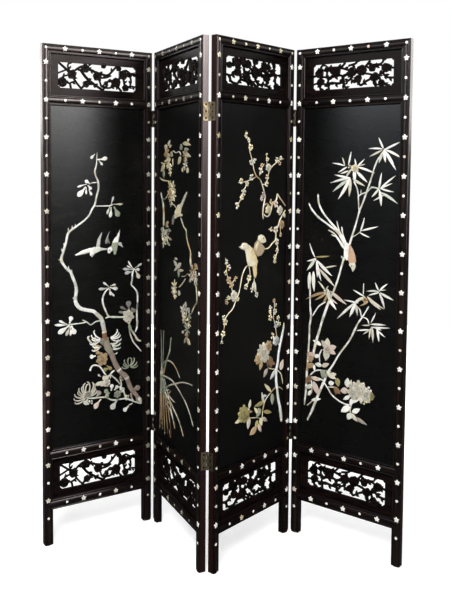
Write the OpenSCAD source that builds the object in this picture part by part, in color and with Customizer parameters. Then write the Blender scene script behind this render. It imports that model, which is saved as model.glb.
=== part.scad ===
// Four-panel folding screen with moulded frames, pierced frets and relief inlay.
// Each panel is built lying in its own frame: X across, Y towards the back, Z up.
// The panels stand in a zigzag on pinned butt hinges.

/* [Screen] */
// Height from the floor to the top edge
screen_h = 1830; // [1700:10:2000]
// Width of one panel
panel_w = 438; // [400:2:500]
// Heading of panel 1 in plan, in degrees
heading_1 = 30.6; // [10:0.2:60]
// Heading of panel 2 in plan, in degrees
heading_2 = -66; // [-75:0.2:-40]
// Heading of panel 3 in plan, in degrees
heading_3 = 47; // [30:0.2:65]
// Heading of panel 4 in plan, in degrees
heading_4 = -38.2; // [-60:0.2:-15]

/* [Frame] */
// Thickness of the frame members from the crest of the bead to the back
frame_t = 25.4; // [24:0.2:32]
// Width of the large bead of the moulding
bead_w = 22; // [18:0.5:25]
// Height of the large bead above its shoulders
bead_rise = 3; // [2:0.5:6]
// Plain edge outside the bead on stiles and top rail
edge_w = 3; // [2:0.5:5]
// Width of the groove beside the bead
quirk_w = 1.5; // [1:0.1:2.5]
// Depth of the groove beside the bead
quirk_d = 2; // [1:0.1:3]
// Width of the small inner bead
fillet_w = 6.5; // [5:0.5:9]
// Height of the small inner bead
fillet_rise = 2; // [1:0.1:2.5]
// How far the small bead's shoulder lies below the large bead's shoulder
fillet_drop = 1.5; // [0.2:0.1:2]
// Height of the centre line of the upper rail below the top edge
upper_rail_drop = 198; // [180:1:230]
// Height of the centre line of the lower rail above the floor
lower_rail_z = 336; // [300:1:380]
// Height of the centre line of the bottom rail above the floor
bottom_rail_z = 150; // [130:1:170]
// Chamfer on the back edges of the frame members
back_chamfer = 1.5; // [0.5:0.5:3]
// Chamfer around the bottom of each foot
foot_chamfer = 3; // [1:0.5:5]
// Thickness of the tenons
tenon_t = 7; // [5:0.5:8]
// Height of the tenons
tenon_h = 18; // [12:1:20]
// Wood left between the end of a tenon and the outer edge of the stile
tenon_end = 6; // [5:0.5:8]
// Clearance in every glued wood joint
joint_gap = 0.1; // [0.05:0.05:0.2]

/* [Boards and frets] */
// Depth of the face of the centre board below the crest of the bead
board_y = 11; // [9:0.5:12]
// Thickness of the centre board
board_t = 8; // [6:0.5:9]
// Depth of the face of the frets below the crest of the bead
fret_y = 12; // [11:0.5:14]
// Thickness of the frets
fret_t = 7; // [4:0.5:7]
// How far boards and frets enter the grooves of the frame
tongue_d = 5; // [3:0.5:6]
// Solid border of a fret at its sides
fret_side = 31; // [20:1:40]
// Solid border of a fret above and below the pierced work
fret_rim = 27; // [20:1:36]
// Width of a fret's branches, as a share of the drawn width
fret_stroke = 1.3; // [0.8:0.05:1.5]

/* [Inlay] */
// Distance between the flower and dot studs along the frame
stud_pitch = 66.5; // [60:0.5:72]
// Radius of a flower stud
flower_r = 10; // [8:0.5:10.5]
// Radius of a dot stud
dot_r = 5; // [3:0.5:7]
// How far the studs stand proud of the bead
stud_rise = 1.2; // [0.6:0.1:1.6]
// How far stems and leaves stand proud of the centre board
spray_rise = 2.4; // [1:0.2:3.2]
// How far flowers and birds stand proud of the centre board
bloom_rise = 4; // [2:0.2:5]

/* [Hinges] */
// Height of a hinge
hinge_h = 62; // [50:1:80]
// Height of the centre of the upper hinges below the top edge
upper_hinge_drop = 251; // [245:1:400]
// Height of the centre of the lower hinges above the floor
lower_hinge_z = 392; // [380:1:480]
// Distance from a panel's edge to the centre of the hinge pin
pin_side = 2.9; // [2.6:0.1:4]
// Distance from a panel's face to the centre of the hinge pin
pin_out = 2.4; // [2:0.1:4]
// Radius of the hinge pins
pin_r = 1.5; // [1:0.1:1.8]
// Radius of the hinge barrel
barrel_r = 3; // [2.6:0.1:3.4]
// Running clearance around a hinge pin
pin_fit = 0.05; // [0.02:0.01:0.1]
// Clearance of the pin in the knuckles that hold it
pin_hold = 0.02; // [0.01:0.01:0.03]
// Thickness of a hinge leaf
leaf_t = 1.8; // [1.2:0.1:2.2]
// Width of a hinge leaf, from the pin's centre across the panel's edge
leaf_w = 23; // [19:0.5:26]
// Gap between neighbouring knuckles
knuckle_gap = 0.4; // [0.2:0.1:0.8]
// Radius of the shank of a hinge screw
screw_r = 2; // [1.5:0.1:2.4]
// Length of the shank of a hinge screw in the wood
screw_l = 12; // [8:1:14]
// Distance between the screws of a leaf
screw_pitch = 22; // [16:1:24]

/* [Hidden] */
$fn = 48;

// Widths of the members and the levels of their moulding
side_w = quirk_w + fillet_w;
stile_w = edge_w + bead_w + side_w;
rail_h = bead_w + 2 * side_w;
bead_c = edge_w + bead_w / 2;
// Flat left at each foot of a bead
lip = 0.15;
// How far a cutting shape reaches past the wood
past = 1;
function cap_r(w, rise) = (pow(w / 2 - lip, 2) + rise * rise) / (2 * rise);
bead_r = cap_r(bead_w, bead_rise);
fillet_y = bead_rise + fillet_drop;

// Heights of the rails and of the boards between them
upper_rail_z = screen_h - upper_rail_drop;
fret_top = screen_h - stile_w;
cross_rails = [upper_rail_z, lower_rail_z, bottom_rail_z];
board_lo = lower_rail_z + rail_h / 2;
board_hi = upper_rail_z - rail_h / 2;
upper_fret_span = [upper_rail_z + rail_h / 2, fret_top];
lower_fret_span = [bottom_rail_z + rail_h / 2, lower_rail_z - rail_h / 2];
hinge_zs = [screen_h - upper_hinge_drop, lower_hinge_z];

// Knuckles: three on the first leaf of a hinge and two on the second
knuckles = 5;
knuckle_h = hinge_h / knuckles;
head_r = screw_r + 1.6;
head_h = 1.3;
head_sink = 0.1;
head_z = leaf_t - head_sink - head_h;
slot_w = 0.8;
slot_d = 0.6;
screw_fit = 0.1;

// Panel positions in plan. Hinge 12 and hinge 34 have their pins in front, hinge 23 behind.
function across(a) = [cos(a), sin(a)];
function deep(a) = [-sin(a), cos(a)];
function spot(o, a, x, y) = o + x * across(a) + y * deep(a);
headings = [heading_1, heading_2, heading_3, heading_4];
far = panel_w + pin_side;
pin_23 = [0, 0];
corner_3 = spot(pin_23, heading_3, pin_side, -(frame_t + pin_out));
corner_2 = spot(pin_23, heading_2, -far, -(frame_t + pin_out));
pin_12 = spot(corner_2, heading_2, -pin_side, -pin_out);
corner_1 = spot(pin_12, heading_1, -far, pin_out);
pin_34 = spot(corner_3, heading_3, far, -pin_out);
corner_4 = spot(pin_34, heading_4, pin_side, pin_out);
corners = [corner_1, corner_2, corner_3, corner_4];

// The origin is on the floor, at the centre of the footprint
foot_points = [
    for (i = [0:3], x = [0, panel_w], y = [bead_rise, frame_t]) spot(corners[i], headings[i], x, y)
];
plan_x = [for (p = foot_points) p[0]];
plan_y = [for (p = foot_points) p[1]];
centre = [(min(plan_x) + max(plan_x)) / 2, (min(plan_y) + max(plan_y)) / 2];

echo(pin_12 = pin_12 - centre, pin_23 = pin_23 - centre, pin_34 = pin_34 - centre);
echo(corners = [for (c = corners) c - centre]);

module at_panel(i) {
    translate([corners[i - 1][0] - centre[0], corners[i - 1][1] - centre[1], 0])
        rotate([0, 0, headings[i - 1]])
            children();
}

// A flat shape drawn in the front view, given thickness from depth y0 backwards
module slab(y0, t) {
    translate([0, y0 + t, 0])
        rotate([90, 0, 0])
            linear_extrude(height = t)
                children();
}

module other_side() {
    translate([panel_w, 0, 0])
        mirror([1, 0, 0])
            children();
}

// Frame mouldings, drawn as sections: X across the member, Y towards the back
module round_cap(x0, w, rise, y0) {
    r = cap_r(w, rise);
    intersection() {
        translate([x0 + w / 2, y0 - rise + r])
            circle(r = r);
        translate([x0 + lip, y0 - rise])
            square([w - 2 * lip, rise + 0.4]);
    }
}

module edge_section() {
    q = edge_w + bead_w;
    polygon([
        [0, bead_rise + 1], [1, bead_rise], [q, bead_rise], [q, bead_rise + quirk_d],
        [q + quirk_w, bead_rise + quirk_d], [q + quirk_w, fillet_y], [stile_w, fillet_y],
        [stile_w, frame_t - back_chamfer], [stile_w - back_chamfer, frame_t],
        [back_chamfer, frame_t], [0, frame_t - back_chamfer]
    ]);
    round_cap(edge_w, bead_w, bead_rise, bead_rise);
    round_cap(q + quirk_w, fillet_w, fillet_rise, fillet_y);
}

module rail_section() {
    b = bead_w / 2;
    q = b + quirk_w;
    e = rail_h / 2;
    polygon([
        [-b, bead_rise], [b, bead_rise], [b, bead_rise + quirk_d], [q, bead_rise + quirk_d],
        [q, fillet_y], [e, fillet_y], [e, frame_t - back_chamfer], [e - back_chamfer, frame_t],
        [back_chamfer - e, frame_t], [-e, frame_t - back_chamfer], [-e, fillet_y],
        [-q, fillet_y], [-q, bead_rise + quirk_d], [-b, bead_rise + quirk_d]
    ]);
    round_cap(-b, bead_w, bead_rise, bead_rise);
    round_cap(q, fillet_w, fillet_rise, fillet_y);
    round_cap(-e, fillet_w, fillet_rise, fillet_y);
}

// Front views of the mitred joints
module stile_front() {
    polygon([
        [foot_chamfer, 0], [stile_w - foot_chamfer, 0], [stile_w, foot_chamfer],
        [stile_w, screen_h - stile_w], [0, screen_h], [0, foot_chamfer]
    ]);
}

module top_rail_front() {
    polygon([
        [0, screen_h], [stile_w, screen_h - stile_w],
        [panel_w - stile_w, screen_h - stile_w], [panel_w, screen_h]
    ]);
}

module cross_rail_front(z) {
    tip = stile_w - rail_h / 2;
    polygon([
        [tip, z], [stile_w, z + rail_h / 2], [panel_w - stile_w, z + rail_h / 2],
        [panel_w - tip, z], [panel_w - stile_w, z - rail_h / 2], [stile_w, z - rail_h / 2]
    ]);
}

// Tenons on the rails, and the mortises that take them
tenon_y = board_y + (board_t - tenon_t) / 2;
corner_tenon_drop = 3;
corner_tenon_back = 2;
corner_tenon_share = 0.7;
corner_tenon_z = screen_h - stile_w / 2 - tenon_h / 2 - corner_tenon_drop;

module tenon(z, grow) {
    translate([tenon_end - grow, tenon_y - grow, z - tenon_h / 2 - grow])
        cube([stile_w, tenon_t + 2 * grow, tenon_h + 2 * grow]);
}

module corner_tenon(grow) {
    h = tenon_h * corner_tenon_share;
    translate([tenon_end + corner_tenon_back - grow, tenon_y - grow, corner_tenon_z - grow])
        cube([stile_w, tenon_t + 2 * grow, h + 2 * grow]);
}

// Grooves that hold the boards and frets
module groove(span, y, t) {
    d = tongue_d + joint_gap;
    translate([stile_w - d, y - joint_gap, span[0] - d])
        cube([panel_w - 2 * stile_w + 2 * d, t + 2 * joint_gap, span[1] - span[0] + 2 * d]);
}

module all_grooves() {
    groove([board_lo, board_hi], board_y, board_t);
    groove(upper_fret_span, fret_y, fret_t);
    groove(lower_fret_span, fret_y, fret_t);
}

// Screw holes in the left edge of a panel; front is true where the pin is in front
function leaf_mid(front) = front ? leaf_w / 2 - pin_out + 1 : frame_t + pin_out - leaf_w / 2 - 1;

module screw_holes(front) {
    for (z = hinge_zs, k = [-1:1])
        translate([-1, leaf_mid(front), z + k * screw_pitch])
            rotate([0, 90, 0])
                cylinder(r = screw_r + 0.05, h = screw_l + 1.5);
}

// hinge is 0 for an edge with no hinge, 1 for pins in front and -1 for pins behind
module stile(hinge) {
    difference() {
        intersection() {
            linear_extrude(height = screen_h)
                edge_section();
            slab(-past, frame_t + 2 * past)
                difference() {
                    stile_front();
                    for (z = cross_rails)
                        cross_rail_front(z);
                }
        }
        all_grooves();
        corner_tenon(joint_gap);
        for (z = cross_rails)
            tenon(z, joint_gap);
        if (hinge != 0)
            screw_holes(hinge > 0);
    }
}

module left_stile(i) {
    color([0.16, 0.07, 0.06])
        at_panel(i)
            stile([0, 1, -1, 1][i - 1]);
}

module right_stile(i) {
    color([0.16, 0.07, 0.06])
        at_panel(i)
            other_side()
                stile([1, -1, 1, 0][i - 1]);
}

module top_rail(i) {
    color([0.16, 0.07, 0.06])
        at_panel(i)
            difference() {
                union() {
                    intersection() {
                        translate([0, 0, screen_h])
                            rotate([0, 90, 0])
                                linear_extrude(height = panel_w)
                                    edge_section();
                        slab(-past, frame_t + 2 * past)
                            offset(delta = -joint_gap)
                                top_rail_front();
                    }
                    corner_tenon(0);
                    other_side()
                        corner_tenon(0);
                }
                all_grooves();
            }
}

module cross_rail(i, z) {
    color([0.16, 0.07, 0.06])
        at_panel(i)
            difference() {
                union() {
                    intersection() {
                        translate([0, 0, z])
                            rotate([0, 90, 0])
                                linear_extrude(height = panel_w)
                                    rail_section();
                        slab(-past, frame_t + 2 * past)
                            offset(delta = -joint_gap)
                                cross_rail_front(z);
                    }
                    tenon(z, 0);
                    other_side()
                        tenon(z, 0);
                }
                all_grooves();
            }
}

// A board or fret blank in the front view, with its tongues
module blank(span) {
    translate([stile_w - tongue_d, span[0] - tongue_d])
        square([panel_w - 2 * stile_w + 2 * tongue_d, span[1] - span[0] + 2 * tongue_d]);
}

module board(i) {
    color([0.05, 0.05, 0.05])
        at_panel(i)
            slab(board_y, board_t)
                blank([board_lo, board_hi]);
}

// Drawing helpers. A stroke is a list of points [x, z, width].
function unit(v) = v / max(norm(v), 0.001);
function left_of(v) = [-v[1], v[0]];
function xy(p) = [p[0], p[1]];
function run(p, k) = unit(xy(p[k + 1]) - xy(p[k]));
function heading_at(p, k) = unit(run(p, max(k - 1, 0)) + run(p, min(k, len(p) - 2)));
function half_width(p, k) = left_of(heading_at(p, k)) * p[k][2] / 2;

module stroke(points, share = 1) {
    for (k = [0:len(points) - 2]) {
        a = xy(points[k]);
        b = xy(points[k + 1]);
        m = half_width(points, k) * share;
        n = half_width(points, k + 1) * share;
        polygon([a + m, b + n, b - n, a - m]);
    }
}

// A leaf [x, z, tip x, tip z, width]
narrow_leaf_w = 13;
narrow_steps = [0.3, 0.7];
broad_steps = [0.25, 0.5, 0.75];
function leaf_half(t) = pow(sin(180 * pow(t, 0.8)), 0.8) / 2;
function leaf_outline(l) = let (
    a = [l[0], l[1]],
    d = [l[2], l[3]] - a,
    n = left_of(unit(d)) * l[4],
    ts = l[4] < narrow_leaf_w ? narrow_steps : broad_steps
) concat(
    [a],
    [for (t = ts) a + d * t + n * leaf_half(t)],
    [a + d],
    [for (k = [len(ts) - 1:-1:0]) a + d * ts[k] - n * leaf_half(ts[k])]
);

module leaf(l) {
    polygon(leaf_outline(l));
}

// A flower [x, z, radius, petals] seen from the front. Each petal runs from one notch to the
// next: pointed on buds, square on small flowers and round on large ones.
bud_r = 10.5;
large_flower_r = 27;
pointed_petal = [[0, 0.72], [0.5, 1]];
square_petal = [[0, 0.68], [0.3, 1], [0.7, 1]];
round_petal = [[0, 0.72], [0.2, 0.94], [0.5, 1], [0.8, 0.94]];

module flower(f) {
    small_petal = f[2] < bud_r ? pointed_petal : square_petal;
    petal = f[2] < large_flower_r ? small_petal : round_petal;
    polygon([
        for (k = [0:f[3] - 1], p = petal)
            let (a = 90 + 360 * (k - 0.5 + p[0]) / f[3])
                [f[0] + f[2] * p[1] * cos(a), f[1] + f[2] * p[1] * sin(a)]
    ]);
}

// Pierced frets: branches and blossoms between the rim and the open work.
// Drawn for an opening 310 wide and 92 high, from its lower left corner.
fret_drawn = [310, 92];
rosettes_a = [[17, 21, 18]];
blossoms_a = [
    [53, 50, 15], [105, 76, 15], [153, 50, 15], [108, 19, 12], [228, 31, 17], [258, 62, 17],
    [188, 27, 7], [268, 14, 12], [178, 90, 9], [240, 84, 9]
];
branches_a = [
    [[0, 93, 6], [35, 66, 7], [53, 50, 8]],
    [[0, 52, 5], [32, 66, 5]],
    [[17, 39, 6], [30, 45, 5], [53, 50, 6]],
    [[53, 50, 7], [70, 24, 6], [92, 0, 6]],
    [[48, 55, 6], [38, 80, 5], [46, 95, 6]],
    [[53, 50, 6], [66, 66, 6], [92, 82, 7], [105, 76, 6]],
    [[86, 72, 8], [105, 48, 8], [126, 30, 8], [166, 6, 7], [180, 0, 7]],
    [[105, 76, 8], [140, 68, 7], [153, 50, 8]],
    [[120, 88, 6], [130, 95, 6]],
    [[145, 66, 7], [176, 58, 7], [200, 60, 6], [232, 92, 6]],
    [[153, 50, 7], [166, 46, 6], [188, 48, 6], [208, 56, 6]],
    [[160, 40, 5], [166, 26, 5], [172, 14, 6], [200, 10, 6], [222, 20, 6]],
    [[206, 40, 6], [228, 31, 8]],
    [[228, 31, 8], [242, 46, 8], [258, 62, 8]],
    [[258, 62, 7], [288, 64, 6], [310, 68, 6]],
    [[258, 62, 6], [268, 80, 6], [286, 72, 5], [296, 66, 5]],
    [[228, 31, 7], [240, 14, 6], [252, 0, 7]],
    [[268, 14, 7], [262, 40, 6], [258, 62, 6]],
    [[268, 14, 6], [290, 22, 5], [310, 20, 5]],
    [[288, 22, 5], [292, 40, 6], [288, 64, 5]],
    [[17, 21, 6], [44, 18, 6], [50, 0, 6]],
    [[44, 18, 5], [66, 28, 5]],
    [[92, 4, 6], [108, 19, 7], [130, 28, 6]],
    [[172, 14, 5], [188, 27, 5], [206, 42, 6]]
];
rosettes_b = [[262, 58, 14]];
blossoms_b = [
    [52, 76, 14], [88, 84, 12], [158, 50, 16], [118, 74, 12], [108, 34, 13], [62, 42, 12],
    [212, 74, 13], [222, 38, 13], [160, 88, 10], [284, 8, 11], [18, 62, 9]
];
branches_b = [
    [[0, 64, 6], [18, 62, 6], [40, 70, 6], [52, 76, 6]],
    [[0, 30, 6], [24, 28, 6], [44, 34, 6], [62, 42, 7]],
    [[52, 76, 7], [56, 60, 6], [62, 42, 7]],
    [[20, 28, 6], [30, 8, 6], [62, 4, 6], [84, 18, 7], [130, 10, 6], [142, 0, 6]],
    [[62, 42, 7], [86, 28, 6], [108, 34, 6]],
    [[62, 42, 6], [72, 62, 6], [88, 84, 6]],
    [[88, 84, 7], [96, 64, 6], [118, 74, 7]],
    [[96, 60, 7], [108, 34, 7], [130, 22, 7], [170, 0, 7]],
    [[118, 74, 6], [136, 60, 6], [158, 50, 7]],
    [[108, 38, 6], [132, 44, 6], [158, 50, 6]],
    [[158, 50, 8], [156, 72, 6], [160, 88, 6]],
    [[158, 50, 7], [162, 26, 6], [184, 10, 7], [214, 12, 6], [252, 2, 7]],
    [[158, 50, 6], [182, 40, 6], [186, 62, 6], [212, 74, 6]],
    [[182, 40, 7], [200, 46, 6], [222, 38, 7]],
    [[190, 64, 6], [244, 50, 6], [262, 58, 6]],
    [[212, 74, 7], [206, 92, 6]],
    [[222, 38, 7], [236, 20, 6], [214, 12, 6]],
    [[222, 38, 6], [250, 44, 6], [262, 58, 6]],
    [[262, 58, 7], [274, 82, 6], [268, 94, 6]],
    [[262, 58, 7], [286, 52, 6], [310, 54, 6]],
    [[276, 50, 6], [278, 26, 6], [284, 8, 6]],
    [[284, 8, 6], [310, 14, 6]],
    [[240, 92, 6], [234, 76, 6], [246, 66, 6], [262, 58, 6]]
];
rosettes_c = [[154, 58, 17]];
blossoms_c = [
    [24, 60, 13], [78, 68, 11], [56, 74, 8], [30, 30, 11], [116, 26, 8], [96, 64, 10],
    [190, 60, 15], [176, 30, 11], [230, 64, 10], [242, 34, 12], [282, 62, 13], [266, 10, 10]
];
branches_c = [
    [[0, 50, 6], [24, 60, 7], [30, 84, 6], [44, 92, 6]],
    [[24, 60, 7], [30, 30, 7], [26, 10, 6], [30, 0, 6]],
    [[0, 22, 5], [30, 30, 6]],
    [[28, 48, 6], [70, 44, 6], [106, 48, 6], [122, 44, 6], [138, 56, 7]],
    [[24, 66, 6], [56, 74, 6], [80, 78, 6], [110, 78, 6], [126, 92, 6]],
    [[56, 74, 6], [52, 46, 5]],
    [[78, 68, 6], [80, 46, 5]],
    [[96, 64, 6], [98, 48, 5]],
    [[30, 24, 6], [54, 18, 6], [62, 4, 6], [60, 0, 6]],
    [[60, 10, 6], [70, 24, 6], [100, 20, 7], [116, 26, 7], [120, 42, 6]],
    [[54, 20, 5], [64, 44, 5]],
    [[116, 26, 6], [126, 6, 6], [134, 0, 6]],
    [[110, 74, 6], [136, 66, 7], [154, 58, 7]],
    [[140, 80, 6], [166, 86, 6], [172, 94, 6]],
    [[154, 58, 7], [148, 34, 6], [130, 24, 6]],
    [[148, 34, 6], [162, 20, 6], [176, 30, 6]],
    [[154, 58, 7], [190, 60, 7]],
    [[190, 60, 7], [176, 30, 6]],
    [[176, 30, 6], [186, 8, 6], [210, 22, 6], [242, 34, 7]],
    [[190, 60, 6], [206, 74, 6], [222, 92, 6]],
    [[192, 50, 6], [222, 44, 6], [242, 34, 6]],
    [[206, 72, 6], [230, 64, 6], [256, 74, 6], [282, 62, 6]],
    [[218, 76, 6], [262, 78, 5], [272, 94, 6]],
    [[242, 34, 6], [268, 46, 6], [282, 62, 7]],
    [[242, 34, 6], [236, 14, 6], [246, 0, 6]],
    [[254, 38, 6], [266, 10, 6], [284, 4, 6], [296, 0, 6]],
    [[268, 46, 6], [284, 30, 6], [310, 26, 6]],
    [[282, 62, 6], [310, 60, 6]]
];

// A rosette is a ring with a flower in it
ring_hole_share = 0.68;
ring_flower_share = 0.72;

module fret_work(rosettes, blossoms, branches) {
    for (b = branches)
        stroke(b, fret_stroke);
    for (f = blossoms)
        flower([f[0], f[1], f[2], 5]);
    for (r = rosettes) {
        difference() {
            translate([r[0], r[1]])
                circle(r = r[2], $fn = 12);
            translate([r[0], r[1]])
                circle(r = r[2] * ring_hole_share, $fn = 12);
        }
        flower([r[0], r[1], r[2] * ring_flower_share, 5]);
    }
}

module fret_design(i) {
    if (i <= 2)
        fret_work(rosettes_a, blossoms_a, branches_a);
    if (i == 3)
        fret_work(rosettes_b, blossoms_b, branches_b);
    if (i == 4)
        fret_work(rosettes_c, blossoms_c, branches_c);
}

// Wood left beside the saw line of each opening
fret_saw = 0.2;

// The corners of the open work are filled by quarter rounds
corner_round = 7;

module open_work(size) {
    difference() {
        square(size);
        for (x = [0, size[0]], y = [0, size[1]])
            translate([x, y])
                circle(r = corner_round, $fn = 12);
    }
}

module fret(i, span) {
    w = panel_w - 2 * stile_w - 2 * fret_side;
    h = span[1] - span[0] - 2 * fret_rim;
    color([0.10, 0.06, 0.05])
        at_panel(i)
            slab(fret_y, fret_t)
                offset(delta = 0)
                    difference() {
                        blank(span);
                        translate([stile_w + fret_side, span[0] + fret_rim])
                            offset(delta = -fret_saw)
                                difference() {
                                    open_work([w, h]);
                                    scale([w / fret_drawn[0], h / fret_drawn[1]])
                                        fret_design(i);
                                }
                    }
}

// Flower and dot studs, which follow the round of the bead
module stud(is_flower) {
    if (is_flower)
        scale(flower_r / bud_r)
            flower([0, 0, bud_r, 5]);
    else
        circle(r = dot_r, $fn = 8);
}

module bead_shell(length) {
    difference() {
        cylinder(r = bead_r + stud_rise, h = length);
        translate([0, 0, -1])
            cylinder(r = bead_r, h = length + 2);
    }
}

module stud_slab() {
    slab(-stud_rise - 1, bead_rise + stud_rise + 1)
        children();
}

studs_up = floor((screen_h - upper_rail_z - stile_w) / stud_pitch);
studs_down = floor((upper_rail_z - stud_pitch) / stud_pitch);

// The rounds of the stile's bead and of the upper rail's bead that runs into it
module joined_rounds(grow) {
    translate([bead_c, bead_r, 0])
        cylinder(r = bead_r + grow, h = screen_h);
    translate([bead_c, bead_r, upper_rail_z])
        rotate([0, 90, 0])
            cylinder(r = bead_r + grow, h = stile_w - bead_c);
}

module stile_studs() {
    intersection() {
        stud_slab()
            for (k = [-studs_down:studs_up])
                translate([bead_c, upper_rail_z + k * stud_pitch])
                    stud(k % 2 == 0);
        difference() {
            joined_rounds(stud_rise);
            joined_rounds(0);
        }
    }
}

// The dot on the mitre of the top corner
module corner_stud() {
    intersection() {
        stud_slab()
            intersection() {
                translate([bead_c, screen_h - bead_c])
                    stud(false);
                stile_front();
            }
        translate([bead_c, bead_r, 0])
            bead_shell(screen_h);
    }
    intersection() {
        stud_slab()
            intersection() {
                translate([bead_c, screen_h - bead_c])
                    stud(false);
                top_rail_front();
            }
        translate([0, bead_r, screen_h - bead_c])
            rotate([0, 90, 0])
                bead_shell(panel_w);
    }
}

rail_studs = 2;

// first is true where the middle stud of the row is a flower
module rail_stud_row(z, first) {
    intersection() {
        stud_slab()
            for (k = [-rail_studs:rail_studs])
                translate([panel_w / 2 + k * stud_pitch, z])
                    stud((k % 2 == 0) == first);
        translate([0, bead_r, z])
            rotate([0, 90, 0])
                bead_shell(panel_w);
    }
}

module studs(i) {
    color([0.93, 0.9, 0.84])
        at_panel(i) {
            stile_studs();
            corner_stud();
            other_side() {
                stile_studs();
                corner_stud();
            }
            rail_stud_row(screen_h - bead_c, true);
            rail_stud_row(upper_rail_z, false);
            rail_stud_row(lower_rail_z, i == 4);
            rail_stud_row(bottom_rail_z, i == 4);
        }
}

// Inlaid pictures of flowering branches, birds and bamboo. Points are drawn in the front view
// of a panel of the drawn size and follow the centre board when it changes.
picture_drawn_lo = [33, 355];
picture_drawn_size = [372, 1258];
picture_shift = [2, -10, 5, -2];

// Panel 1: an old branch with sprigs, two swallows and chrysanthemums
stems_1 = [
    [[212, 1448, 2], [210, 1420, 3], [208, 1398, 5], [202, 1378, 6], [206, 1360, 6],
     [214, 1343, 7], [217, 1325, 8], [216, 1308, 8], [209, 1285, 7], [202, 1255, 7],
     [190, 1235, 7], [180, 1215, 7], [163, 1198, 7], [140, 1182, 7], [118, 1168, 8],
     [102, 1157, 9], [94, 1145, 9], [88, 1118, 9], [82, 1100, 9], [76, 1080, 10],
     [70, 1060, 13], [72, 1045, 12], [88, 1022, 10], [104, 1008, 12], [112, 990, 12],
     [122, 965, 13], [127, 945, 14], [126, 925, 14], [123, 905, 15], [128, 885, 16],
     [145, 868, 15], [170, 860, 15], [195, 853, 15], [210, 840, 16], [225, 825, 17],
     [233, 805, 19], [238, 780, 20], [240, 765, 20], [240, 745, 26], [248, 720, 34],
     [258, 700, 32], [270, 680, 26], [280, 655, 26], [292, 630, 26], [310, 605, 25],
     [328, 590, 28], [340, 565, 26], [350, 540, 25], [365, 520, 22], [385, 495, 16],
     [397, 470, 9]],
    [[96, 1158, 6], [98, 1171, 3]], [[112, 1164, 5], [112, 1178, 3]],
    [[124, 1171, 5], [124, 1184, 3]], [[84, 1100, 6], [78, 1115, 3]],
    [[74, 1080, 6], [71, 1096, 3]], [[98, 1012, 6], [97, 1030, 3]],
    [[110, 995, 6], [110, 1016, 3]], [[70, 1056, 8], [58, 1054, 4]],
    [[124, 908, 8], [112, 910, 4]],
    [[212, 1336, 4], [186, 1334, 3]], [[201, 1248, 3], [262, 1248, 5], [275, 1254, 3]],
    [[210, 1420, 4], [228, 1424, 4]],
    [[228, 815, 6], [205, 813, 5], [185, 803, 5], [168, 815, 6], [150, 813, 5], [98, 812, 5]],
    [[168, 816, 5], [150, 825, 4]],
    [[310, 820, 5], [262, 826, 6], [246, 850, 7], [234, 880, 8], [234, 903, 7], [246, 925, 6],
     [260, 936, 6]],
    [[370, 755, 5], [378, 780, 8], [377, 830, 8], [380, 880, 7], [378, 910, 7], [365, 930, 6],
     [353, 942, 6], [357, 965, 6], [358, 985, 7], [366, 1005, 5]],
    [[244, 822, 5], [262, 826, 6], [310, 820, 7], [345, 817, 6], [345, 790, 7],
     [352, 768, 8], [368, 745, 8], [380, 725, 8], [396, 718, 5]],
    [[343, 788, 6], [347, 757, 6], [360, 722, 6], [377, 700, 6], [397, 677, 4]],
    [[318, 812, 4], [335, 800, 5], [345, 788, 6]],
    [[228, 714, 7], [195, 728, 7], [177, 745, 7], [173, 757, 7], [181, 760, 4]],
    [[206, 728, 5], [199, 742, 5], [202, 754, 4], [208, 755, 3]],
    [[262, 722, 6], [290, 722, 6], [295, 734, 4]], [[262, 703, 6], [288, 698, 6], [304, 701, 5]],
    [[255, 690, 5], [284, 680, 5], [295, 686, 4]],
    [[182, 636, 8], [195, 648, 6], [220, 640, 6], [240, 612, 6], [250, 600, 5]],
    [[264, 588, 6], [268, 608, 7], [284, 618, 5]],
    [[165, 545, 5], [176, 525, 6], [240, 519, 6], [275, 503, 6], [330, 500, 6], [360, 486, 6],
     [396, 470, 6]],
    [[318, 600, 7], [305, 585, 7], [310, 560, 6], [303, 520, 6]],
    [[318, 540, 6], [330, 505, 6], [350, 490, 5]], [[352, 520, 8], [355, 500, 8], [362, 482, 6]],
    [[268, 600, 5], [290, 580, 6], [305, 560, 6]], [[342, 472, 5], [360, 478, 4]]
];
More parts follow.
